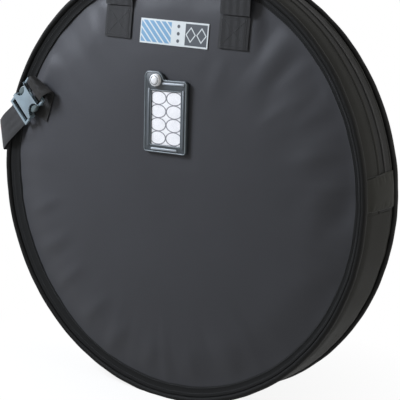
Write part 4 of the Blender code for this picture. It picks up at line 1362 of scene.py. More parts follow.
@dataclass(frozen=True)
class Gusset:
    """The band between the panels, its lining, the zip's end patches and its seams."""

    half_gap: float = 0.03
    edge_fall: float = 0.0034
    under: float = 0.0028
    edge_tuck: float = 0.003
    lip_reach: float = 0.007
    pad_inset: float = 0.0018
    fill: float = 0.8
    seam_inset: float = 0.0066
    seam_start: float = 11.5
    patch_low: float = 0.0085
    patch_high: float = 0.0600
    patch_margin: float = 0.0006
    patch_thickness: float = 0.0016
    patch_swell: float = 0.0030
    patch_fold: float = 0.0016
    patch_steps: int = 36
    patch_seams: Spot = (0.035, 0.955)
    patch_seam_half: float = 0.036
    patch_seam_lift: float = 0.0021
    lip: tuple[Spot, ...] = ((0.0052, -0.0004), (0.0044, 0.0006), (0.0030, 0.0012), (0.0012, 0.0011), (0.0, 0.0002))

    def outline(self, y: float) -> float:
        """The outer radius of the band at a depth."""
        share = abs(y) / SIZES.gusset_half_width
        return SIZES.gusset_radius - self.edge_fall * smoothstep((share - 0.55) / 0.45) ** 1.5

    def profile(self, cover: Spot, pad: Spot) -> list[Spot]:
        """The section of a strip: a crowned cover over foam that may reach under the zip's tape.

        Args:
            cover: Depths of the cover's two edges.
            pad: Depths of the foam's two edges.

        Returns:
            Radius and Y of each point.
        """
        (low, high), (pad_low, pad_high) = cover, pad
        under = SIZES.gusset_radius - self.under
        inner = SIZES.gusset_foam_inner
        outer = [(self.outline(y), y) for y in spread(low, high, 0.004)]
        if pad_high > high:
            outer = [spot for spot in outer if spot[1] < high - self.lip_reach]
            outer += [(self.outline(high - back) + rise, high - back) for back, rise in self.lip]
        if pad_low < low:
            outer = [spot for spot in outer if spot[1] > low + self.lip_reach]
            outer = [(self.outline(low + back) + rise, low + back) for back, rise in reversed(self.lip)] + outer
        right = [(under, high), (under, pad_high)] if pad_high > high else [(outer[-1][0] - self.edge_tuck, high)]
        left = [(under, pad_low), (under, low)] if pad_low < low else [(outer[0][0] - self.edge_tuck, low)]
        floor = [(inner, pad_high), (inner, (pad_low + pad_high) / 2), (inner, pad_low)]
        return outer + right + floor + left

    @staticmethod
    def pucker(angle: float, radius: float, y: float) -> float:
        """Small folds that run in from the sewn edges, and slow waves between them.

        Args:
            angle: Degrees about the disc's axis.
            radius: Distance from the axis.
            y: Depth along the axis.

        Returns:
            What is added to the radius.
        """
        if radius < SIZES.gusset_foam_inner + 0.001:
            return 0.0
        turn = radians(angle)
        near_seam = smoothstep((abs(y) - 0.016) / 0.02) * 0.9
        folds = ring_noise(turn, 17, y * 18)
        waves = ring_noise(turn, 6, y * 9 + 5)
        return 0.001 * (near_seam * folds + 0.5 * waves - 0.35)

    def strip(self, name: str, body: Body, span: Spot, cover: Spot, pad: Spot) -> None:
        """One padded strip of the band with the lining behind it.

        Args:
            name: The strip's name.
            body: The body that it rides on.
            span: First and last angle in degrees.
            cover: Depths of the cover's two edges.
            pad: Depths of the foam's two edges.
        """
        padded = MeshShop.arc(name, self.profile(cover, pad), *span, 1.0, self.pucker, sharp=50.0)
        Wardrobe.dress(padded, GUSSET, "gusset_nylon", body, [name + "_cover", name + "_foam"])
        outer = SIZES.gusset_foam_inner - SIZES.gap
        inner = outer - SIZES.lining_thickness
        places = spread(*pad, 0.012)
        section = [(outer, y) for y in places] + [(inner, y) for y in reversed(places)]
        lining = MeshShop.arc(name + "_inside", section, *span, 2.0)
        Wardrobe.dress(lining, LINING, "lining", body, [name + "_lining"])

    def patch_top(self, share: float, out: float, seed: float, y: float) -> float:
        """How far an end patch's outer face stands off the band.

        Args:
            share: Place along the rim, from 0 to 1.
            out: Place across the band, from -1 to 1.
            seed: A number of the patch's own.
            y: Depth along the disc's axis.

        Returns:
            The distance.
        """
        tucked = smoothstep(share / 0.10) * smoothstep((1 - share) / 0.10)
        swell = self.patch_swell * sin(pi * share) ** 0.6 * (1 - out**2)
        gather = noise.noise(Vector((y * 150, share * 2.0, seed)))
        fold = self.patch_fold * gather * (smoothstep((share - 0.62) / 0.3) + smoothstep((0.30 - share) / 0.3))
        return self.patch_thickness + max((swell + fold) * tucked, -0.0004)

    def end_patch(self, name: str, middle: float) -> list[list[Vector]]:
        """Makes a cloth patch over one end of the zip.

        Args:
            name: The patch's name.
            middle: The angle of the middle height at its side, 0 or 180 degrees.

        Returns:
            The lines of its two seams.
        """
        seat = SIZES.gusset_radius + SIZES.gap
        low, high = [degrees(asin(place / seat)) for place in (self.patch_low, self.patch_high)]
        reach = SIZES.gusset_half_width - self.patch_margin
        places = spread(-reach, reach, 0.0020)
        sections = []
        for share in shares_of(self.patch_steps):
            upper = []
            lower = []
            for y in places:
                out = y / reach
                edge = 0.035 * (1 - share) * (1 - out**2) + 0.10 * share * out
                angle = low + (high - low) * min(max(share * (0.96 + edge) + 0.02, 0.0), 1.0)
                angle = middle - angle if middle else angle
                radius = self.outline(y) + SIZES.gap
                upper.append(on_rim(radius + self.patch_top(share, out, 2.0 + middle, y), angle, y))
                lower.append(on_rim(radius, angle, y))
            sections.append(upper + lower[::-1])
        piece = MeshShop.sweep(name, sections, sharp=50.0)
        Wardrobe.dress(piece, PATCH, "gusset_nylon", Body.LID, [name.replace("cloth", "patch")])
        lines = []
        for share in self.patch_seams:
            angle = low + (high - low) * share
            angle = middle - angle if middle else angle
            across = spread(-self.patch_seam_half, self.patch_seam_half, 0.004)
            lines.append([on_rim(self.outline(y) + self.patch_seam_lift, angle, y) for y in across])
        return lines

    def build(self) -> None:
        """Makes the band."""
        start, end = SIZES.chord_angle + self.half_gap, HALF_TURN - SIZES.chord_angle - self.half_gap
        low = (HALF_TURN - SIZES.chord_angle + self.half_gap, FULL_TURN + SIZES.chord_angle - self.half_gap)
        half = SIZES.gusset_half_width
        pad = SIZES.padding_inner - self.pad_inset
        near = SIZES.zip_centre - SIZES.tape_half - SIZES.gap
        far = SIZES.zip_centre + SIZES.tape_half + SIZES.gap
        split = SIZES.gap / 2
        self.strip("gusset_lower", Body.SHELL, low, (-half, half), (-pad, pad))
        self.strip("gusset_upper_front", Body.LID, (start, end), (-half, near), (-pad, SIZES.zip_centre - split))
        self.strip("gusset_upper_rear", Body.SHELL, (start, end), (far, half), (SIZES.zip_centre + split, pad))
        lines = self.end_patch("zip_end_cloth_right", 0.0) + self.end_patch("zip_end_cloth_left", HALF_TURN)
        angles = spread(self.seam_start, HALF_TURN - self.seam_start, 1.0)
        seam = [on_rim(SIZES.gusset_radius - 0.0002, a, near - self.seam_inset) for a in angles]
        RowMaker.stitches("lid_seam_stitches", lines + [seam], "gusset_nylon", Body.LID)
        y = far + self.seam_inset
        back = [on_rim(self.outline(y) + 0.0001, a, y) for a in angles]
        RowMaker.stitches("rear_seam_stitches", [back], "gusset_nylon", Body.SHELL)


@dataclass(frozen=True)
class Zip:
    """The zip's tapes, teeth, sliders and pull tabs."""

    start: float = 10.6
    tape_drop: float = 0.0010
    tape_thickness: float = 0.0012
    tape_margin: float = 0.03
    tooth_lift: float = 0.0009
    tooth_offset: float = 0.0011
    tooth_pitch: float = 0.0017
    tooth_length: float = 0.0013
    tooth_width: float = 0.0020
    tooth_height: float = 0.0014
    slider_bevel: float = 0.0005
    pull_bevel: float = 0.0004

    def half(self, side: str, face: Face, body: Body) -> None:
        """One tape with its row of teeth.

        Args:
            side: The word for this half in the pieces' names.
            face: The face that the tape lies towards.
            body: The body that it rides on.
        """
        top = SIZES.gusset_radius - self.tape_drop
        near = SIZES.zip_centre + face * SIZES.gap / 2
        far = SIZES.zip_centre + face * SIZES.tape_half
        places = spread(near, far, 0.002)
        section = [(top, y) for y in places] + [(top - self.tape_thickness, y) for y in reversed(places)]
        first = SIZES.chord_angle + self.tape_margin
        tape = MeshShop.arc(f"zip_woven_tape_{side}", section, first, HALF_TURN - first, 1.0)
        Wardrobe.dress(tape, TAPE, "zip_tape", body, [f"zip_tape_{side}"])
        angles = spread(self.start, HALF_TURN - self.start, 0.5)
        line = [on_rim(top + self.tooth_lift, a, near + face * self.tooth_offset) for a in angles]
        values = {"Pitch": self.tooth_pitch, "Length": self.tooth_length, "Width": self.tooth_width,
                  "Height": self.tooth_height, "Centre": CENTRE.z, "Finish": Wardrobe.material(COIL)}
        teeth = RowMaker.run(f"zip_coil_{side}", [line], RowMaker.tooth_tree(), values)
        Wardrobe.dress(teeth, None, "zip_teeth", body, [f"zip_teeth_{side}"])

    def build(self) -> None:
        """Makes the zip."""
        self.half("front", Face.FRONT, Body.LID)
        self.half("rear", Face.REAR, Body.SHELL)
        for side, slider, pull in (("left", Body.SLIDER_LEFT, Body.PULL_LEFT),
                                   ("right", Body.SLIDER_RIGHT, Body.PULL_RIGHT)):
            for name, body, bevel in (("slider", slider, self.slider_bevel), ("pull_tab", pull, self.pull_bevel)):
                piece = MeshShop.refined(f"{name}_{side}", body.value, bevel)
                Wardrobe.dress(piece, PLATED, "zip_metal", body, [body.value])


@dataclass(frozen=True)
class Handles:
    """The two webbing handles and their sewn feet."""

    corner_share: float = 0.62
    foot_gap: float = 0.00065
    lean_in: float = 0.0010
    leg_steps: int = 6
    corner_steps: int = 24
    columns: int = 10
    foot_columns: int = 12
    stitch_inset: float = 0.005

    @staticmethod
    def axis_depth(face: Face) -> float:
        """The depth of the line that a handle folds on, clear of its feet and of the piping."""
        at_foot = SIZES.depth(face, hypot(SIZES.handle_half_spacing, SIZES.handle_patch_top))
        over_foot = at_foot + SIZES.webbing_thickness * 1.5 + SIZES.gap * 3
        piping_face = SIZES.piping_place + SIZES.piping_radius + SIZES.gap
        return max(over_foot, piping_face + SIZES.webbing_thickness)

    def path(self, face: Face) -> list[Pair]:
        """Edge points of one handle from its left foot over the top to its right foot.

        Args:
            face: The bag's face that it is sewn on.

        Returns:
            Pairs of edge points.
        """
        foot_depth = self.axis_depth(face) - self.lean_in
        foot = SIZES.handle_patch_top + self.foot_gap
        leg_top = SIZES.radius
        corner_x = SIZES.handle_half_spacing * self.corner_share
        half = SIZES.webbing / 2
        places = []
        for share in shares_of(self.leg_steps)[:-1]:
            middle = Vector((-SIZES.handle_half_spacing, face * (foot_depth + self.lean_in * share),
                             foot + (leg_top - foot) * share))
            places.append((middle, Vector((half, 0, 0))))
        for share in shares_of(self.corner_steps):
            turn = radians(90 * share)
            lean = smoothstep(share)
            middle = Vector((
                -SIZES.handle_half_spacing + corner_x * (1 - cos(turn)),
                face * ((foot_depth + self.lean_in) * (1 - lean) + SIZES.handle_depth * lean),
                leg_top + SIZES.handle_rise * sin(turn),
            ))
            along = Vector((corner_x * sin(turn), 0, SIZES.handle_rise * cos(turn))).normalized()
            across = Vector((along.z, 0, -along.x))
            places.append((middle, (across * cos(turn) + Vector((0, -face, 0)) * sin(turn)) * half))
        last_middle, last_wide = places[-1]
        bar = []
        for share in (0.25, 0.5, 0.75):
            middle = Vector((last_middle.x * (1 - 2 * share), last_middle.y, last_middle.z))
            bar.append((middle, last_wide))
        mirrored = [(Vector((-m.x, m.y, m.z)), Vector((-w.x, w.y, w.z))) for m, w in reversed(places)]
        lift = Vector((0, 0, CENTRE.z))
        return [(m - w + lift, m + w + lift) for m, w in places + bar + mirrored]

    @staticmethod
    def on_panel(face: Face, x: float, z: float, lift: float) -> Vector:
        """The point over a panel's cloth at a place from the disc's centre and a lift over the usual gap."""
        return Vector((x, face * (SIZES.depth(face, hypot(x, z)) + SIZES.gap + lift), z + CENTRE.z))

    def foot(self, name: str, middle: float, face: Face, node: str) -> list[list[Vector]]:
        """Makes a folded webbing end sewn on a panel.

        Args:
            name: The foot's name.
            middle: Distance of its middle to the right of the disc's centre.
            face: The front or the rear panel.
            node: The solid that it replaces.

        Returns:
            The lines of its box stitch.
        """
        half = SIZES.webbing / 2
        thickness = SIZES.webbing_thickness
        top = SIZES.handle_patch_top
        low = top - SIZES.handle_patch_length
        left, right = middle - half, middle + half
        pairs = []
        for z in spread(low, top, 0.004):
            pairs.append((self.on_panel(face, left, z, thickness / 2), self.on_panel(face, right, z, thickness / 2)))
        piece = MeshShop.ribbon(name, pairs, thickness, self.foot_columns)
        Wardrobe.dress(piece, CARRY, "webbing", Body.LID if face is Face.FRONT else Body.SHELL, [node])
        inset = self.stitch_inset
        corners = [(left + inset, low + inset), (right - inset, low + inset), (right - inset, top - inset),
                   (left + inset, top - inset)]
        legs = list(zip(corners, corners[1:] + corners[:1])) + [(corners[0], corners[2]), (corners[1], corners[3])]
        lines = []
        for (ax, az), (bx, bz) in legs:
            line = [(ax + (bx - ax) * t, az + (bz - az) * t) for t in spread(0.0, 1.0, 0.1)]
            lines.append([self.on_panel(face, x, z, thickness) for x, z in line])
        return lines

    def build(self) -> None:
        """Makes both handles."""
        for word, face, body, base in (("front", Face.FRONT, Body.FRONT_HANDLE, Body.LID),
                                       ("rear", Face.REAR, Body.REAR_HANDLE, Body.SHELL)):
            loop = MeshShop.ribbon(f"{word}_carry_handle", self.path(face), SIZES.webbing_thickness, self.columns)
            Wardrobe.dress(loop, CARRY, "webbing", body, [f"{word}_handle"])
            lines = []
            for end, x in (("left", -SIZES.handle_half_spacing), ("right", SIZES.handle_half_spacing)):
                lines += self.foot(f"{word}_handle_foot_{end}", x, face, f"{word}_handle_patch_{end}")
            RowMaker.stitches(f"{word}_handle_stitches", lines, "webbing", base)


@dataclass(frozen=True)
class Badge:
    """The woven label and the moulded tag on the front panel."""

    label_thickness: float = 0.0009
    label_margin: float = 0.0005
    bar_corner: float = 0.0012
    rim_inset: float = 0.0014
    rim_radius: float = 0.0008
    lip_offset: float = 0.0010
    lip_radius: float = 0.0005
    rib_rise: float = 0.0010
    bar_rise: float = 0.0014
    groove_radius: float = 0.0064
    groove_rise: float = 0.0052
    groove_line: float = 0.0004
    stud: tuple[Spot, ...] = (
        (0.0092, 0.0), (0.0092, 0.0034), (0.0088, 0.0046), (0.0080, 0.0053), (0.0070, 0.0055),
        (0.0067, 0.0050), (0.0061, 0.0050), (0.0058, 0.0055), (0.0030, 0.0058), (0.0003, 0.0059),
    )

    def label(self) -> None:
        """The woven label between the handle's feet."""
        low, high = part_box("woven_label")
        middle = ((low[0] + high[0]) / 2, (low[2] + high[2]) / 2)
        size = (high[0] - low[0], high[2] - low[2])
        lift = SIZES.gap + self.label_thickness / 2
        pairs = []
        for x in spread(low[0] + self.label_margin, high[0] - self.label_margin, 0.004):
            depths = [SIZES.depth(Face.FRONT, hypot(x, z - CENTRE.z)) + lift for z in (low[2], high[2])]
            pairs.append((Vector((x, -depths[0], low[2])), Vector((x, -depths[1], high[2]))))
        finish = WovenLabel("woven_label_cloth", (0.62, 0.65, 0.63), 0.7, middle=middle, size=size)
        piece = MeshShop.ribbon("front_label", pairs, self.label_thickness, 12)
        Wardrobe.dress(piece, finish, "label", Body.LID, ["woven_label"])

    @staticmethod
    def corner(x: float, z: float, radius: float, start: float, end: float) -> list[Spot]:
        """Eight points of a round corner about a centre, from one angle in degrees to another."""
        turns = [radians(start + (end - start) * step / 7) for step in range(8)]
        return [(x + radius * cos(t), z + radius * sin(t)) for t in turns]

    def outline(self) -> list[Spot]:
        """The tag's outline with its lobe round the button, anticlockwise."""
        half_x, r, c = TAG.width / 2, TAG.corner, TAG.lobe_corner
        lobe_x, lobe_z = TAG.button
        reach = TAG.lobe + TAG.fillet
        turn = asin((TAG.high + TAG.fillet - lobe_z) / reach)
        fillet_x = lobe_x + reach * cos(turn)
        points = self.corner(half_x - r, TAG.low + r, r, -90, 0)
        points += self.corner(half_x - r, TAG.high - r, r, 0, 90)
        points += self.corner(fillet_x, TAG.high + TAG.fillet, TAG.fillet, -90, degrees(turn) - HALF_TURN)
        points += self.corner(lobe_x, lobe_z, TAG.lobe, degrees(turn), 90)[1:]
        points += self.corner(-half_x + c, lobe_z + TAG.lobe - c, c, 90, 180)
        points += self.corner(-half_x + r, TAG.low + r, r, 180, 270)
        return points

    def block(self, low: Spot, high: Spot) -> list[Spot]:
        """The outline of a bar with round corners, from its low corner to its high one."""
        r = min(self.bar_corner, (high[0] - low[0]) / 2.2, (high[1] - low[1]) / 2.2)
        (left, right), (floor, top) = (low[0] + r, high[0] - r), (low[1] + r, high[1] - r)
        points = self.corner(right, floor, r, -90, 0) + self.corner(right, top, r, 0, 90)
        return points + self.corner(left, top, r, 90, 180) + self.corner(left, floor, r, 180, 270)

    def bar(self, name: str, low: Spot, high: Spot, rise: float) -> Piece:
        """A low raised bar on the tag's face.

        Args:
            name: The bar's name.
            low: Its low corner.
            high: Its high corner.
            rise: Its height.

        Returns:
            The linked object.
        """
        sections = []
        for level, inset in ((0.0, 0.0), (rise * 0.6, 0.0), (rise, rise * 0.4)):
            spots = self.block((low[0] + inset, low[1] + inset), (high[0] - inset, high[1] - inset))
            sections.append([TAG.place(u, v, TAG.thickness + level) for u, v in spots])
        return MeshShop.sweep(name, sections, sharp=50.0)

    @staticmethod
    def rim(name: str, outline: Sequence[Spot], offset: float, level: float, radius: float) -> Piece:
        """A thin raised rim that runs inside an outline.

        Args:
            name: The rim's name.
            outline: Points round the outline.
            offset: How far inside it the rim runs.
            level: The rim's height over the tag's back.
            radius: Its section's radius.

        Returns:
            The linked object.
        """
        path = []
        for i, (u, v) in enumerate(outline):
            before, after = outline[i - 1], outline[(i + 1) % len(outline)]
            along = Vector((after[0] - before[0], after[1] - before[1])).normalized()
            path.append(TAG.place(u - along.y * offset, v + along.x * offset, level))
        return MeshShop.tube(name, path, radius)

    @staticmethod
    def reach(outline: Sequence[Spot], middle: Spot, turn: float) -> float:
        """How far an outline lies from a middle point, in one direction.

        Args:
            outline: Points round the outline.
            middle: The point inside it.
            turn: The direction in radians.

        Returns:
            The distance.
        """
        best = 0.0
        way = (cos(turn), sin(turn))
        for i, (bx, by) in enumerate(outline):
            ax, ay = outline[i - 1]
            ex, ey = bx - ax, by - ay
            slope = way[0] * ey - way[1] * ex
            if abs(slope) < 1e-12:
                continue
            far = ((ax - middle[0]) * ey - (ay - middle[1]) * ex) / slope
            along = ((ax - middle[0]) * way[1] - (ay - middle[1]) * way[0]) / slope
            if -1e-9 <= along <= 1 + 1e-9:
                best = max(best, far)
        return best

    def moulding(self, opening: Sequence[Spot]) -> Piece:
        """Makes the tag's frame: a ring with soft edges from its opening to its outline.

        Args:
            opening: Points round the window's opening.

        Returns:
            The linked object.
        """
        outer = self.outline()
        u, v = TAG.window_middle
        turns = sorted(atan2(z - v, x - u) for x, z in [*outer, *opening])
        face = TAG.thickness
        sections = []
        for turn in turns:
            far, near = [self.reach(edge, TAG.window_middle, turn) for edge in (outer, opening)]
            spots = ((far, 0.0), (far, face - 0.0011), (far - 0.0003, face - 0.0004), (far - 0.0010, face),
                     (near + 0.0006, face), (near, face - 0.0004), (near, 0.0))
            sections.append([TAG.place(u + r * cos(turn), v + r * sin(turn), level) for r, level in spots])
        return MeshShop.sweep("tag_moulding", sections, closed=True, sharp=35.0)

    def frame(self, low: Spot, high: Spot) -> None:
        """Makes the tag's frame with raised rims, ribs and bars.

        Args:
            low: The window's low corner.
            high: Its high corner.
        """
        face, offset = TAG.thickness, self.lip_offset
        (left, floor), (right, roof) = low, high
        Wardrobe.dress(self.moulding(self.block(low, high)), RUBBER, "tag_rubber", Body.LID, ["tag_frame"])
        lip = self.block((left - offset, floor - offset), (right + offset, roof + offset))
        top = TAG.high - 0.0040
        rib_low, rib_high = floor - 0.0030, roof + 0.0030
        bar_start, bar_end = TAG.button[0] + 0.0110, TAG.width / 2 - 0.0045
        trims = (
            ("tag_rims", BRIGHT, [
                self.rim("rim_outer", self.outline(), self.rim_inset, face, self.rim_radius),
                self.rim("rim_window", lip, 0.0, face, self.lip_radius)]),
            ("tag_ribs", RIB, [
                self.bar("rib_left", (left - 0.0064, rib_low), (left - 0.0026, rib_high), self.rib_rise),
                self.bar("rib_right", (right + 0.0026, rib_low), (right + 0.0066, rib_high), self.rib_rise)]),
            ("tag_bars", PALE, [
                self.bar("bar_upper", (bar_start, top - 0.0034), (bar_end, top), self.bar_rise),
                self.bar("bar_lower", (left + 0.0010, floor - 0.0080), (right - 0.0050, floor - 0.0046),
                         self.bar_rise)]),
        )
        for name, finish, parts in trims:
            Wardrobe.dress(MeshShop.join(name, parts), finish, "tag_rubber", Body.LID)

    def button(self) -> None:
        """The round stud with its soft edges, and a dark ring in its groove that paints the groove's shade."""
        u, v = TAG.button
        rings = [[TAG.place(u + r * cos(t), v + r * sin(t), TAG.thickness + level) for t in circle(48)]
                 for r, level in self.stud]
        stud = MeshShop.sweep("tag_stud", rings, sharp=60.0)
        Wardrobe.dress(stud, WHITE, "white_plastic", Body.LID, ["tag_button"])
        # Painted shade: a thin dark rubber ring sits in the stud's groove to darken it.
        spots = [(u + self.groove_radius * cos(t), v + self.groove_radius * sin(t)) for t in circle(32)]
        groove = self.rim("tag_stud_groove_painted_shade", spots, 0.0, TAG.thickness + self.groove_rise, self.groove_line)
        Wardrobe.dress(groove, RUBBER, "tag_rubber", Body.LID)

    @staticmethod
    def repaint(node: str, finish: Finish) -> None:
        """Gives a kept solid a new material."""
        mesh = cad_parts[node].data
        mesh.materials.clear()
        mesh.materials.append(Wardrobe.material(finish))
        LOG.info("%s: repainted", node)

    def build(self) -> None:
        """Makes the label and the tag with its button, card and window."""
        (x, z), (width, height) = TAG.window_middle, TAG.window
        self.label()
        self.frame((x - width / 2, z - height / 2), (x + width / 2, z + height / 2))
        self.button()
        middle = TAG.place(x, z, TAG.thickness)
        card = PrintedCard("write_on_card", (0.90, 0.88, 0.86), 0.55, middle=(middle.x, middle.z), tilt=TAG.tilt)
        self.repaint("tag_card", card)
        self.repaint("tag_window", ClearSheet("clear_window", (0.9, 0.92, 0.94), 0.12))


@dataclass(frozen=True)
class SideStrap:
    """The side strap with its side-release buckle and the tab that holds it."""

    width: float = 0.039
    thickness: float = 0.0016
    bar_place: float = 0.0296
    wrap: float = 0.0044
    bar_leads: Spot = (0.0110, 0.0070)
    axis: float = -135.6
    axis_tilt: float = 9.0
    centre_inset: float = 0.0393
    centre_angle: float = 160.7
    centre_out: float = 0.0110
    seam_heights: Spot = (0.0565, 0.0095)
    seam_out: float = 0.0012
    seam_back: float = 0.0041
    fold_out: float = 0.0028
    fold_shifts: Spot = (0.0160, 0.0038)
    front_out: float = 0.0088
    under_bar: tuple[Spot, ...] = (
        (0.0125, -0.0022), (0.0060, -0.0034), (0.0030, -0.0038), (0.0010, -0.0040), (-0.0012, -0.0044),
    )
    tab_angle: float = 72.4
    tab_corner: Spot = (0.0345, -0.0295)
    tab_length: float = 0.044
    tab_reaches: Spot = (0.0580, 0.0520)
    tab_rise: float = 0.0080
    slot_margin: float = 0.0010
    bar_margin: float = 0.0022
    socket_slot: float = -0.0185
    plug_slot: float = 0.0178
    channel: Spot = (-0.0210, -0.0130)
    channel_top: float = 0.0044
    waist: Spot = (-0.0050, 0.0255)
    waist_radius: float = 0.0142
    cutter_top: float = 0.02
    edge_round: float = 0.0006
    curve_steps: int = 4
    columns: int = 10

    @cached_property
    def place(self) -> Matrix:
        """The buckle's own axes, as the solids have them."""
        axis, tilt = radians(self.axis), radians(self.axis_tilt)
        along = Vector((cos(axis) * cos(tilt), sin(tilt), sin(axis) * cos(tilt)))
        across = Vector((-sin(axis), 0, cos(axis)))
        front = -SIZES.piping_place - SIZES.piping_radius - self.centre_out
        centre = on_rim(SIZES.radius - self.centre_inset, self.centre_angle, front)
        turned = Matrix((along, across, along.cross(across))).transposed().to_4x4()
        return Matrix.Translation(centre) @ turned

    def across_at(self, x: float, z: float) -> Pair:
        """The webbing's two edge points at a place along the buckle and above its middle."""
        half = self.width / 2
        return self.place @ Vector((x, -half, z)), self.place @ Vector((x, half, z))

    def strap(self) -> None:
        """The strap from the seam round the piping to the plug."""
        ends = []
        for height in self.seam_heights:
            x = -sqrt(SIZES.radius**2 - height**2) - self.seam_out
            ends.append(Vector((x, -SIZES.piping_place + self.seam_back, height + CENTRE.z)))
        fold_y = -SIZES.piping_place - self.fold_out
        fold = [Vector((end.x - shift, fold_y, end.z)) for end, shift in zip(ends, self.fold_shifts)]
        wrap = [self.across_at(self.bar_place + x, z) for x, z in self.under_bar]
        front_y = -SIZES.piping_place - self.front_out
        run = []
        for share, forward in ((0.14, 0.62), (0.5, 1.0)):
            pair = [start.lerp(end, share) for start, end in zip(fold, wrap[0])]
            for point in pair:
                point.y = fold_y + (front_y - fold_y) * forward
            run.append(tuple(pair))
        path = smooth_pairs([tuple(ends), tuple(fold)] + run + wrap, self.curve_steps)
        piece = MeshShop.ribbon("side_webbing", path, self.thickness, self.columns)
        Wardrobe.dress(piece, STRAP, "webbing", Body.STRAP, ["side_strap"])

    def on_panel(self, point: Vector) -> Vector:
        """The place of the tab's middle over the front cloth, at a point's X and Z."""
        depth = SIZES.depth(Face.FRONT, hypot(point.x, point.z - CENTRE.z)) + SIZES.gap * 2 + self.thickness / 2
        return Vector((point.x, -depth, point.z))

    def round_bar(self) -> list[Pair]:
        """Edge points of the tab's webbing round the socket's bar."""
        bar, wrap = -self.bar_place, self.wrap
        turns = [radians(90 - HALF_TURN * share) for share in shares_of(8)]
        spots = [(bar + wrap * cos(turn), wrap * sin(turn)) for turn in turns]
        spots = [(bar - self.bar_leads[0], wrap), *spots, (bar - self.bar_leads[1], -wrap)]
        return [self.across_at(x, z) for x, z in spots]

    def tab(self) -> None:
        """The tab from its sewn end over a fold to the socket's bar."""
        centre = self.place.translation
        turn = radians(self.tab_angle)
        along = Vector((cos(turn), 0, sin(turn)))
        across = Vector((-sin(turn), 0, cos(turn)))
        right_end = Vector((centre.x + self.tab_corner[0], 0, centre.z + self.tab_corner[1]))
        ends = (right_end + across * self.width, right_end)
        pairs = []
        for share in shares_of(4):
            pairs.append(tuple(self.on_panel(end + along * self.tab_length * share) for end in ends))
        fold = [self.on_panel(end + along * reach) for end, reach in zip(ends, self.tab_reaches)]
        for point in fold:
            point.y -= self.tab_rise
        wrap = self.round_bar()
        path = smooth_pairs(pairs + [tuple(fold)] + wrap[:2], self.curve_steps)
        piece = MeshShop.ribbon("socket_tab", path[:-1] + wrap[1:], self.thickness, self.columns)
        Wardrobe.dress(piece, DARK_STRAP, "webbing", Body.LID, ["buckle_tab"])
        lift = Vector((0, -self.thickness / 2, 0))
        lines = []
        for share in (0.06, 0.92):
            start, end = [self.on_panel(corner + along * self.tab_length * share) + lift for corner in ends]
            lines.append([start.lerp(end, 0.06 + 0.88 * step) for step in shares_of(10)])
        RowMaker.stitches("tab_stitches", lines, "webbing", Body.LID)

    def build(self) -> None:
        """Makes the strap, the tab and the buckle."""
        self.strap()
        self.tab()
        inner = self.bar_place - self.bar_margin
        cuts = {
            "buckle_socket": [self.block(-inner, self.socket_slot, self.cutter_top),
                              self.block(*self.channel, self.channel_top),
                              self.waist_cutter(1), self.waist_cutter(-1)],
            "buckle_plug": [self.block(self.plug_slot, inner, self.cutter_top)],
        }
        pieces = (("socket_body", "buckle_socket", Body.SOCKET), ("plug_body", "buckle_plug", Body.STRAP))
        for name, node, body in pieces:
            carved = MeshShop.refined(name, node, self.edge_round, cutters=cuts[node])
            # Socket and plug get the acetal with the painted highlight.
            Wardrobe.dress(carved, ACETAL_WITH_PAINTED_HIGHLIGHT, "buckle_plastic", body, [node])
        # The prongs get the darker acetal, a painted shade.
        for name, side, body in (("lower", 1, Body.PRONG_LOWER), ("upper", -1, Body.PRONG_UPPER)):
            prong = self.prong(f"prong_{name}", side)
            Wardrobe.dress(prong, ACETAL_PAINTED_SHADE, "buckle_plastic", body, [f"buckle_prong_{name}"])

    def cutter(self, spots: Sequence[Spot], top: float) -> Piece:
        """An upright cutter from under the buckle to a level, with an outline in its own axes."""
        levels = (-self.cutter_top, top)
        return MeshShop.sweep("cutter", [[self.place @ Vector((x, y, z)) for x, y in spots] for z in levels])

    def block(self, start: float, end: float, top: float) -> Piece:
        """A straight-sided cutter a little wider than the webbing, between two places along the buckle."""
        half = self.width / 2 + self.slot_margin
        return self.cutter(((start, -half), (end, -half), (end, half), (start, half)), top)

    def waist_cutter(self, side: int) -> Piece:
        """A round cutter through the buckle's thickness for the waist at one side."""
        (x, y), r = self.waist, self.waist_radius
        return self.cutter([(x + r * cos(t), side * y + r * sin(t)) for t in circle(40)], self.cutter_top)

    def prong(self, name: str, side: int) -> Piece:
        """Makes a spring arm with an oval head to press.

        Args:
            name: The piece's name.
            side: 1 on the side that the buckle's second axis points to, or else -1.

        Returns:
            The linked object.
        """
        arm = ((0.0172, 0.0120, 0.0045), (0.0100, 0.0120, 0.0045), (0.0030, 0.0122, 0.0045))
        sections = [(x, inner, inner + width, 0.0024) for x, inner, width in arm]
        for share in shares_of(12):
            x = 0.0040 - 0.0180 * share
            swell = sqrt(max(0.0, 1 - (2 * share - 1) ** 2))
            sections.append((x, 0.0174 - 0.0044 * swell, 0.0176 + 0.0060 * swell, 0.0018 + 0.0026 * swell))
        rows = []
        for x, low, high, half in sections:
            middle, wide = (low + high) / 2, (high - low) / 2
            rows.append([self.place @ Vector((x, side * (middle + wide * cos(t)),
                                              half * max(-0.8, min(0.8, 1.15 * sin(t))))) for t in circle(16)])
        return MeshShop.sweep(name, rows, sharp=60.0)


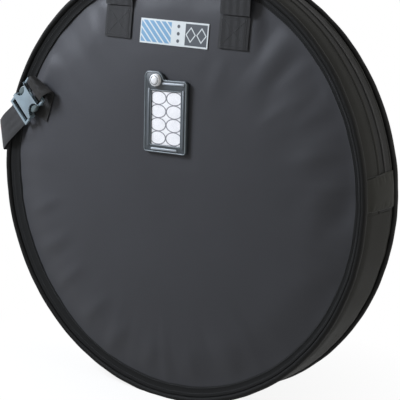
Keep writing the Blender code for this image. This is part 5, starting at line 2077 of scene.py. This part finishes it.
@dataclass(frozen=True)
class Inside:
    """The lining of the panels and the two padded dividers."""

    columns: int = 96
    steps: int = 24
    edge_shares: tuple[float, ...] = (0.955, 0.975, 1.0)
    edge_level: float = 0.55
    hem_start: float = 0.90
    hem_depth: float = 0.35
    fill: float = 0.7

    @staticmethod
    def plate(name: str, low: float, high: float, y: float, body: Body, node: str) -> None:
        """A thin lining between two heights, cut round.

        Args:
            name: The piece's name.
            low: Its lowest height over the disc's centre.
            high: Its greatest height.
            y: The depth of the face against the padding.
            body: The body that it rides on.
            node: The solid that it replaces.
        """
        radius = SIZES.panel_radius - SIZES.gap
        away = SIZES.lining_thickness if y > 0 else -SIZES.lining_thickness
        rows = []
        for z in spread(max(low, -radius * 0.999), min(high, radius * 0.999), 0.008):
            half = sqrt(radius**2 - z**2)
            xs = [half * sin(pi / 2 * (i / 12 - 1)) for i in range(25)]
            face = [(x, y, z + CENTRE.z) for x in xs]
            rows.append(face + [(x, y + away, z + CENTRE.z) for x in reversed(xs)])
        Wardrobe.dress(MeshShop.sweep(name, rows), LINING, "lining", body, [node])

    def divider(self, name: str, node: str, body: Body) -> None:
        """A padded divider with a quilted middle and a bound edge.

        Args:
            name: The piece's name.
            node: The solid that it replaces.
            body: The body that it rides on.
        """
        low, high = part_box(node)
        centre = Vector(((low[0] + high[0]) / 2, (low[1] + high[1]) / 2, (low[2] + high[2]) / 2))
        radius = (high[0] - low[0]) / 2
        half = (high[1] - low[1]) / 2
        rows = []
        shares = [0.01, *shares_of(self.steps)[1:-2], *self.edge_shares]
        for side in Face:
            rings = []
            for share in shares:
                hem = smoothstep((share - self.hem_start) / 0.05) * smoothstep((1.0 - share) / 0.02)
                level = half * (self.edge_level if share == 1.0 else 1 - self.hem_depth * hem)
                rings.append([(centre.x + radius * share * cos(t), centre.y + side * level,
                               centre.z + radius * share * sin(t)) for t in circle(self.columns)])
            rows += rings if side is Face.FRONT else rings[::-1]
        piece = MeshShop.sweep(name, rows, flat_map=True)
        Wardrobe.dress(piece, LINING, "lining", body, [node])

    def build(self) -> None:
        """Makes what the opened bag shows."""
        cut = SIZES.chord
        inner = SIZES.padding_inner - SIZES.gap - SIZES.lining_thickness
        radius = SIZES.panel_radius
        self.plate("lid_lining", cut + SIZES.gap / 2, radius, -inner, Body.LID, "front_panel_upper_lining")
        self.plate("front_lining", -radius, cut - SIZES.gap / 2, -inner, Body.SHELL, "front_panel_lower_lining")
        self.plate("rear_lining", -radius, radius, inner, Body.SHELL, "rear_panel_lining")
        self.divider("front_divider", "divider_front", Body.DIVIDER_FRONT)
        self.divider("rear_divider", "divider_rear", Body.DIVIDER_REAR)


@dataclass(frozen=True)
class Lamp:
    """A soft square lamp that points at a spot."""

    name: str
    place: tuple[float, float, float]
    aim: tuple[float, float, float]
    size: float
    power: float
    colour: tuple[float, float, float]

    def build(self) -> None:
        """Makes the lamp."""
        data = bpy.data.lights.new(self.name, "AREA")
        data.size = self.size
        data.energy = self.power
        data.color = self.colour
        lamp = linked(self.name, data)
        lamp.location = self.place
        lamp.rotation_euler = (Vector(self.aim) - Vector(self.place)).to_track_quat("-Z", "Y").to_euler()


@dataclass(frozen=True)
class Studio:
    """Camera, lamps, world and floor."""

    azimuth: float = 34.85
    elevation: float = 11.22
    roll: float = 3.01
    distance_share: float = 5.921
    shift_right_share: float = 0.139
    shift_up_share: float = -0.059
    lens: float = 118.43
    sensor: float = 36.0
    ambient: Colour = (0.240, 0.237, 0.238, 1.0)
    floor_grey: Colour = (0.35, 0.35, 0.35, 1.0)
    floor_seen: Colour = (0.9, 0.9, 0.9, 1.0)
    white: Colour = (1.0, 1.0, 1.0, 1.0)
    floor_size: float = 30.0
    lamps: tuple[Lamp, ...] = (
        Lamp("key", (-1.08, -0.80, 1.20), (-0.12, 0.0, CENTRE.z + 0.15), 0.5, 38.5, (0.83, 0.885, 1.0)),
        Lamp("fill", (2.4, 0.3, 0.9), (0.0, 0.0, CENTRE.z), 1.2, 35.0, (1.0, 0.98, 0.94)),
        Lamp("top", (0.2, 0.3, 2.6), (0.0, 0.0, CENTRE.z), 1.2, 4.5, (1.0, 1.0, 1.0)),
    )

    def camera(self) -> None:
        """The camera at the photograph's angle and distance."""
        az, el, roll = radians(self.azimuth), radians(self.elevation), radians(self.roll)
        back = Vector((sin(az) * cos(el), -cos(az) * cos(el), sin(el)))
        right = (-back).cross(Vector((0, 0, 1))).normalized()
        up = right.cross(-back)
        aim = Vector((0, -SIZES.piping_place, CENTRE.z))
        place = aim + (back * self.distance_share + right * self.shift_right_share
                       + up * self.shift_up_share) * SIZES.radius
        turned_right = right * cos(roll) + up * sin(roll)
        turned_up = up * cos(roll) - right * sin(roll)
        data = bpy.data.cameras.new("photo_camera")
        data.lens = self.lens
        data.sensor_width = self.sensor
        camera = linked("photo_camera", data)
        turned = Matrix((turned_right, turned_up, back)).transposed().to_4x4()
        camera.matrix_world = Matrix.Translation(place) @ turned
        bpy.context.scene.camera = camera

    @staticmethod
    def see_white(n: Nodes) -> Socket:
        """1 for rays from the camera, from gloss and through glass."""
        path = n.add("ShaderNodeLightPath")
        seen = n.math("MAXIMUM", path.outputs["Is Camera Ray"], path.outputs["Is Glossy Ray"])
        return n.math("MAXIMUM", seen, path.outputs["Is Transmission Ray"])

    def world(self) -> None:
        """A world that looks white and lights softly."""
        world = bpy.data.worlds.new("studio")
        world.use_nodes = True
        bpy.context.scene.world = world
        n = Nodes(world.node_tree)
        background = world.node_tree.nodes["Background"]
        n.put(background.inputs["Color"], n.mix(self.see_white(n), self.ambient, self.white))

    def floor(self) -> None:
        """A pale floor that fades to white and keeps the bag's shadow."""
        bpy.ops.mesh.primitive_plane_add(size=self.floor_size, location=(0, 0, 0))
        floor = bpy.context.object
        floor.name = "studio_floor"
        material = bpy.data.materials.new("pale_floor")
        material.use_nodes = True
        n = Nodes(material.node_tree)
        shader = material.node_tree.nodes["Principled BSDF"]
        n.put(shader.inputs["Base Color"], n.mix(self.see_white(n), self.floor_grey, self.floor_seen))
        shader.inputs["Roughness"].default_value = 0.8
        length = n.add("ShaderNodeVectorMath", operation="LENGTH")
        n.put(length.inputs[0], n.add("ShaderNodeTexCoord").outputs["Object"])
        far = n.ramp(length.outputs["Value"], 0.10, 0.46, 0.85, 1.0)
        mixed = n.set(n.add("ShaderNodeMixShader"), {
            0: n.math("MULTIPLY", far, self.see_white(n)),
            1: shader.outputs[0],
            2: n.add("ShaderNodeEmission").outputs[0],
        })
        n.put(material.node_tree.nodes["Material Output"].inputs["Surface"], mixed.outputs[0])
        floor.data.materials.append(material)

    def build(self) -> None:
        """Sets up the studio."""
        self.camera()
        self.world()
        self.floor()
        for lamp in self.lamps:
            lamp.build()
        bpy.context.scene.view_settings.view_transform = "Standard"


def main() -> None:
    """Builds the studio and the bag's pieces in order."""
    logging.basicConfig(level=logging.INFO, format="%(message)s")
    for part in (Studio(), Panels(), Gusset(), Zip(), Handles(), Badge(), SideStrap(), Inside()):
        part.build()


if __name__ == "__main__":
    main()
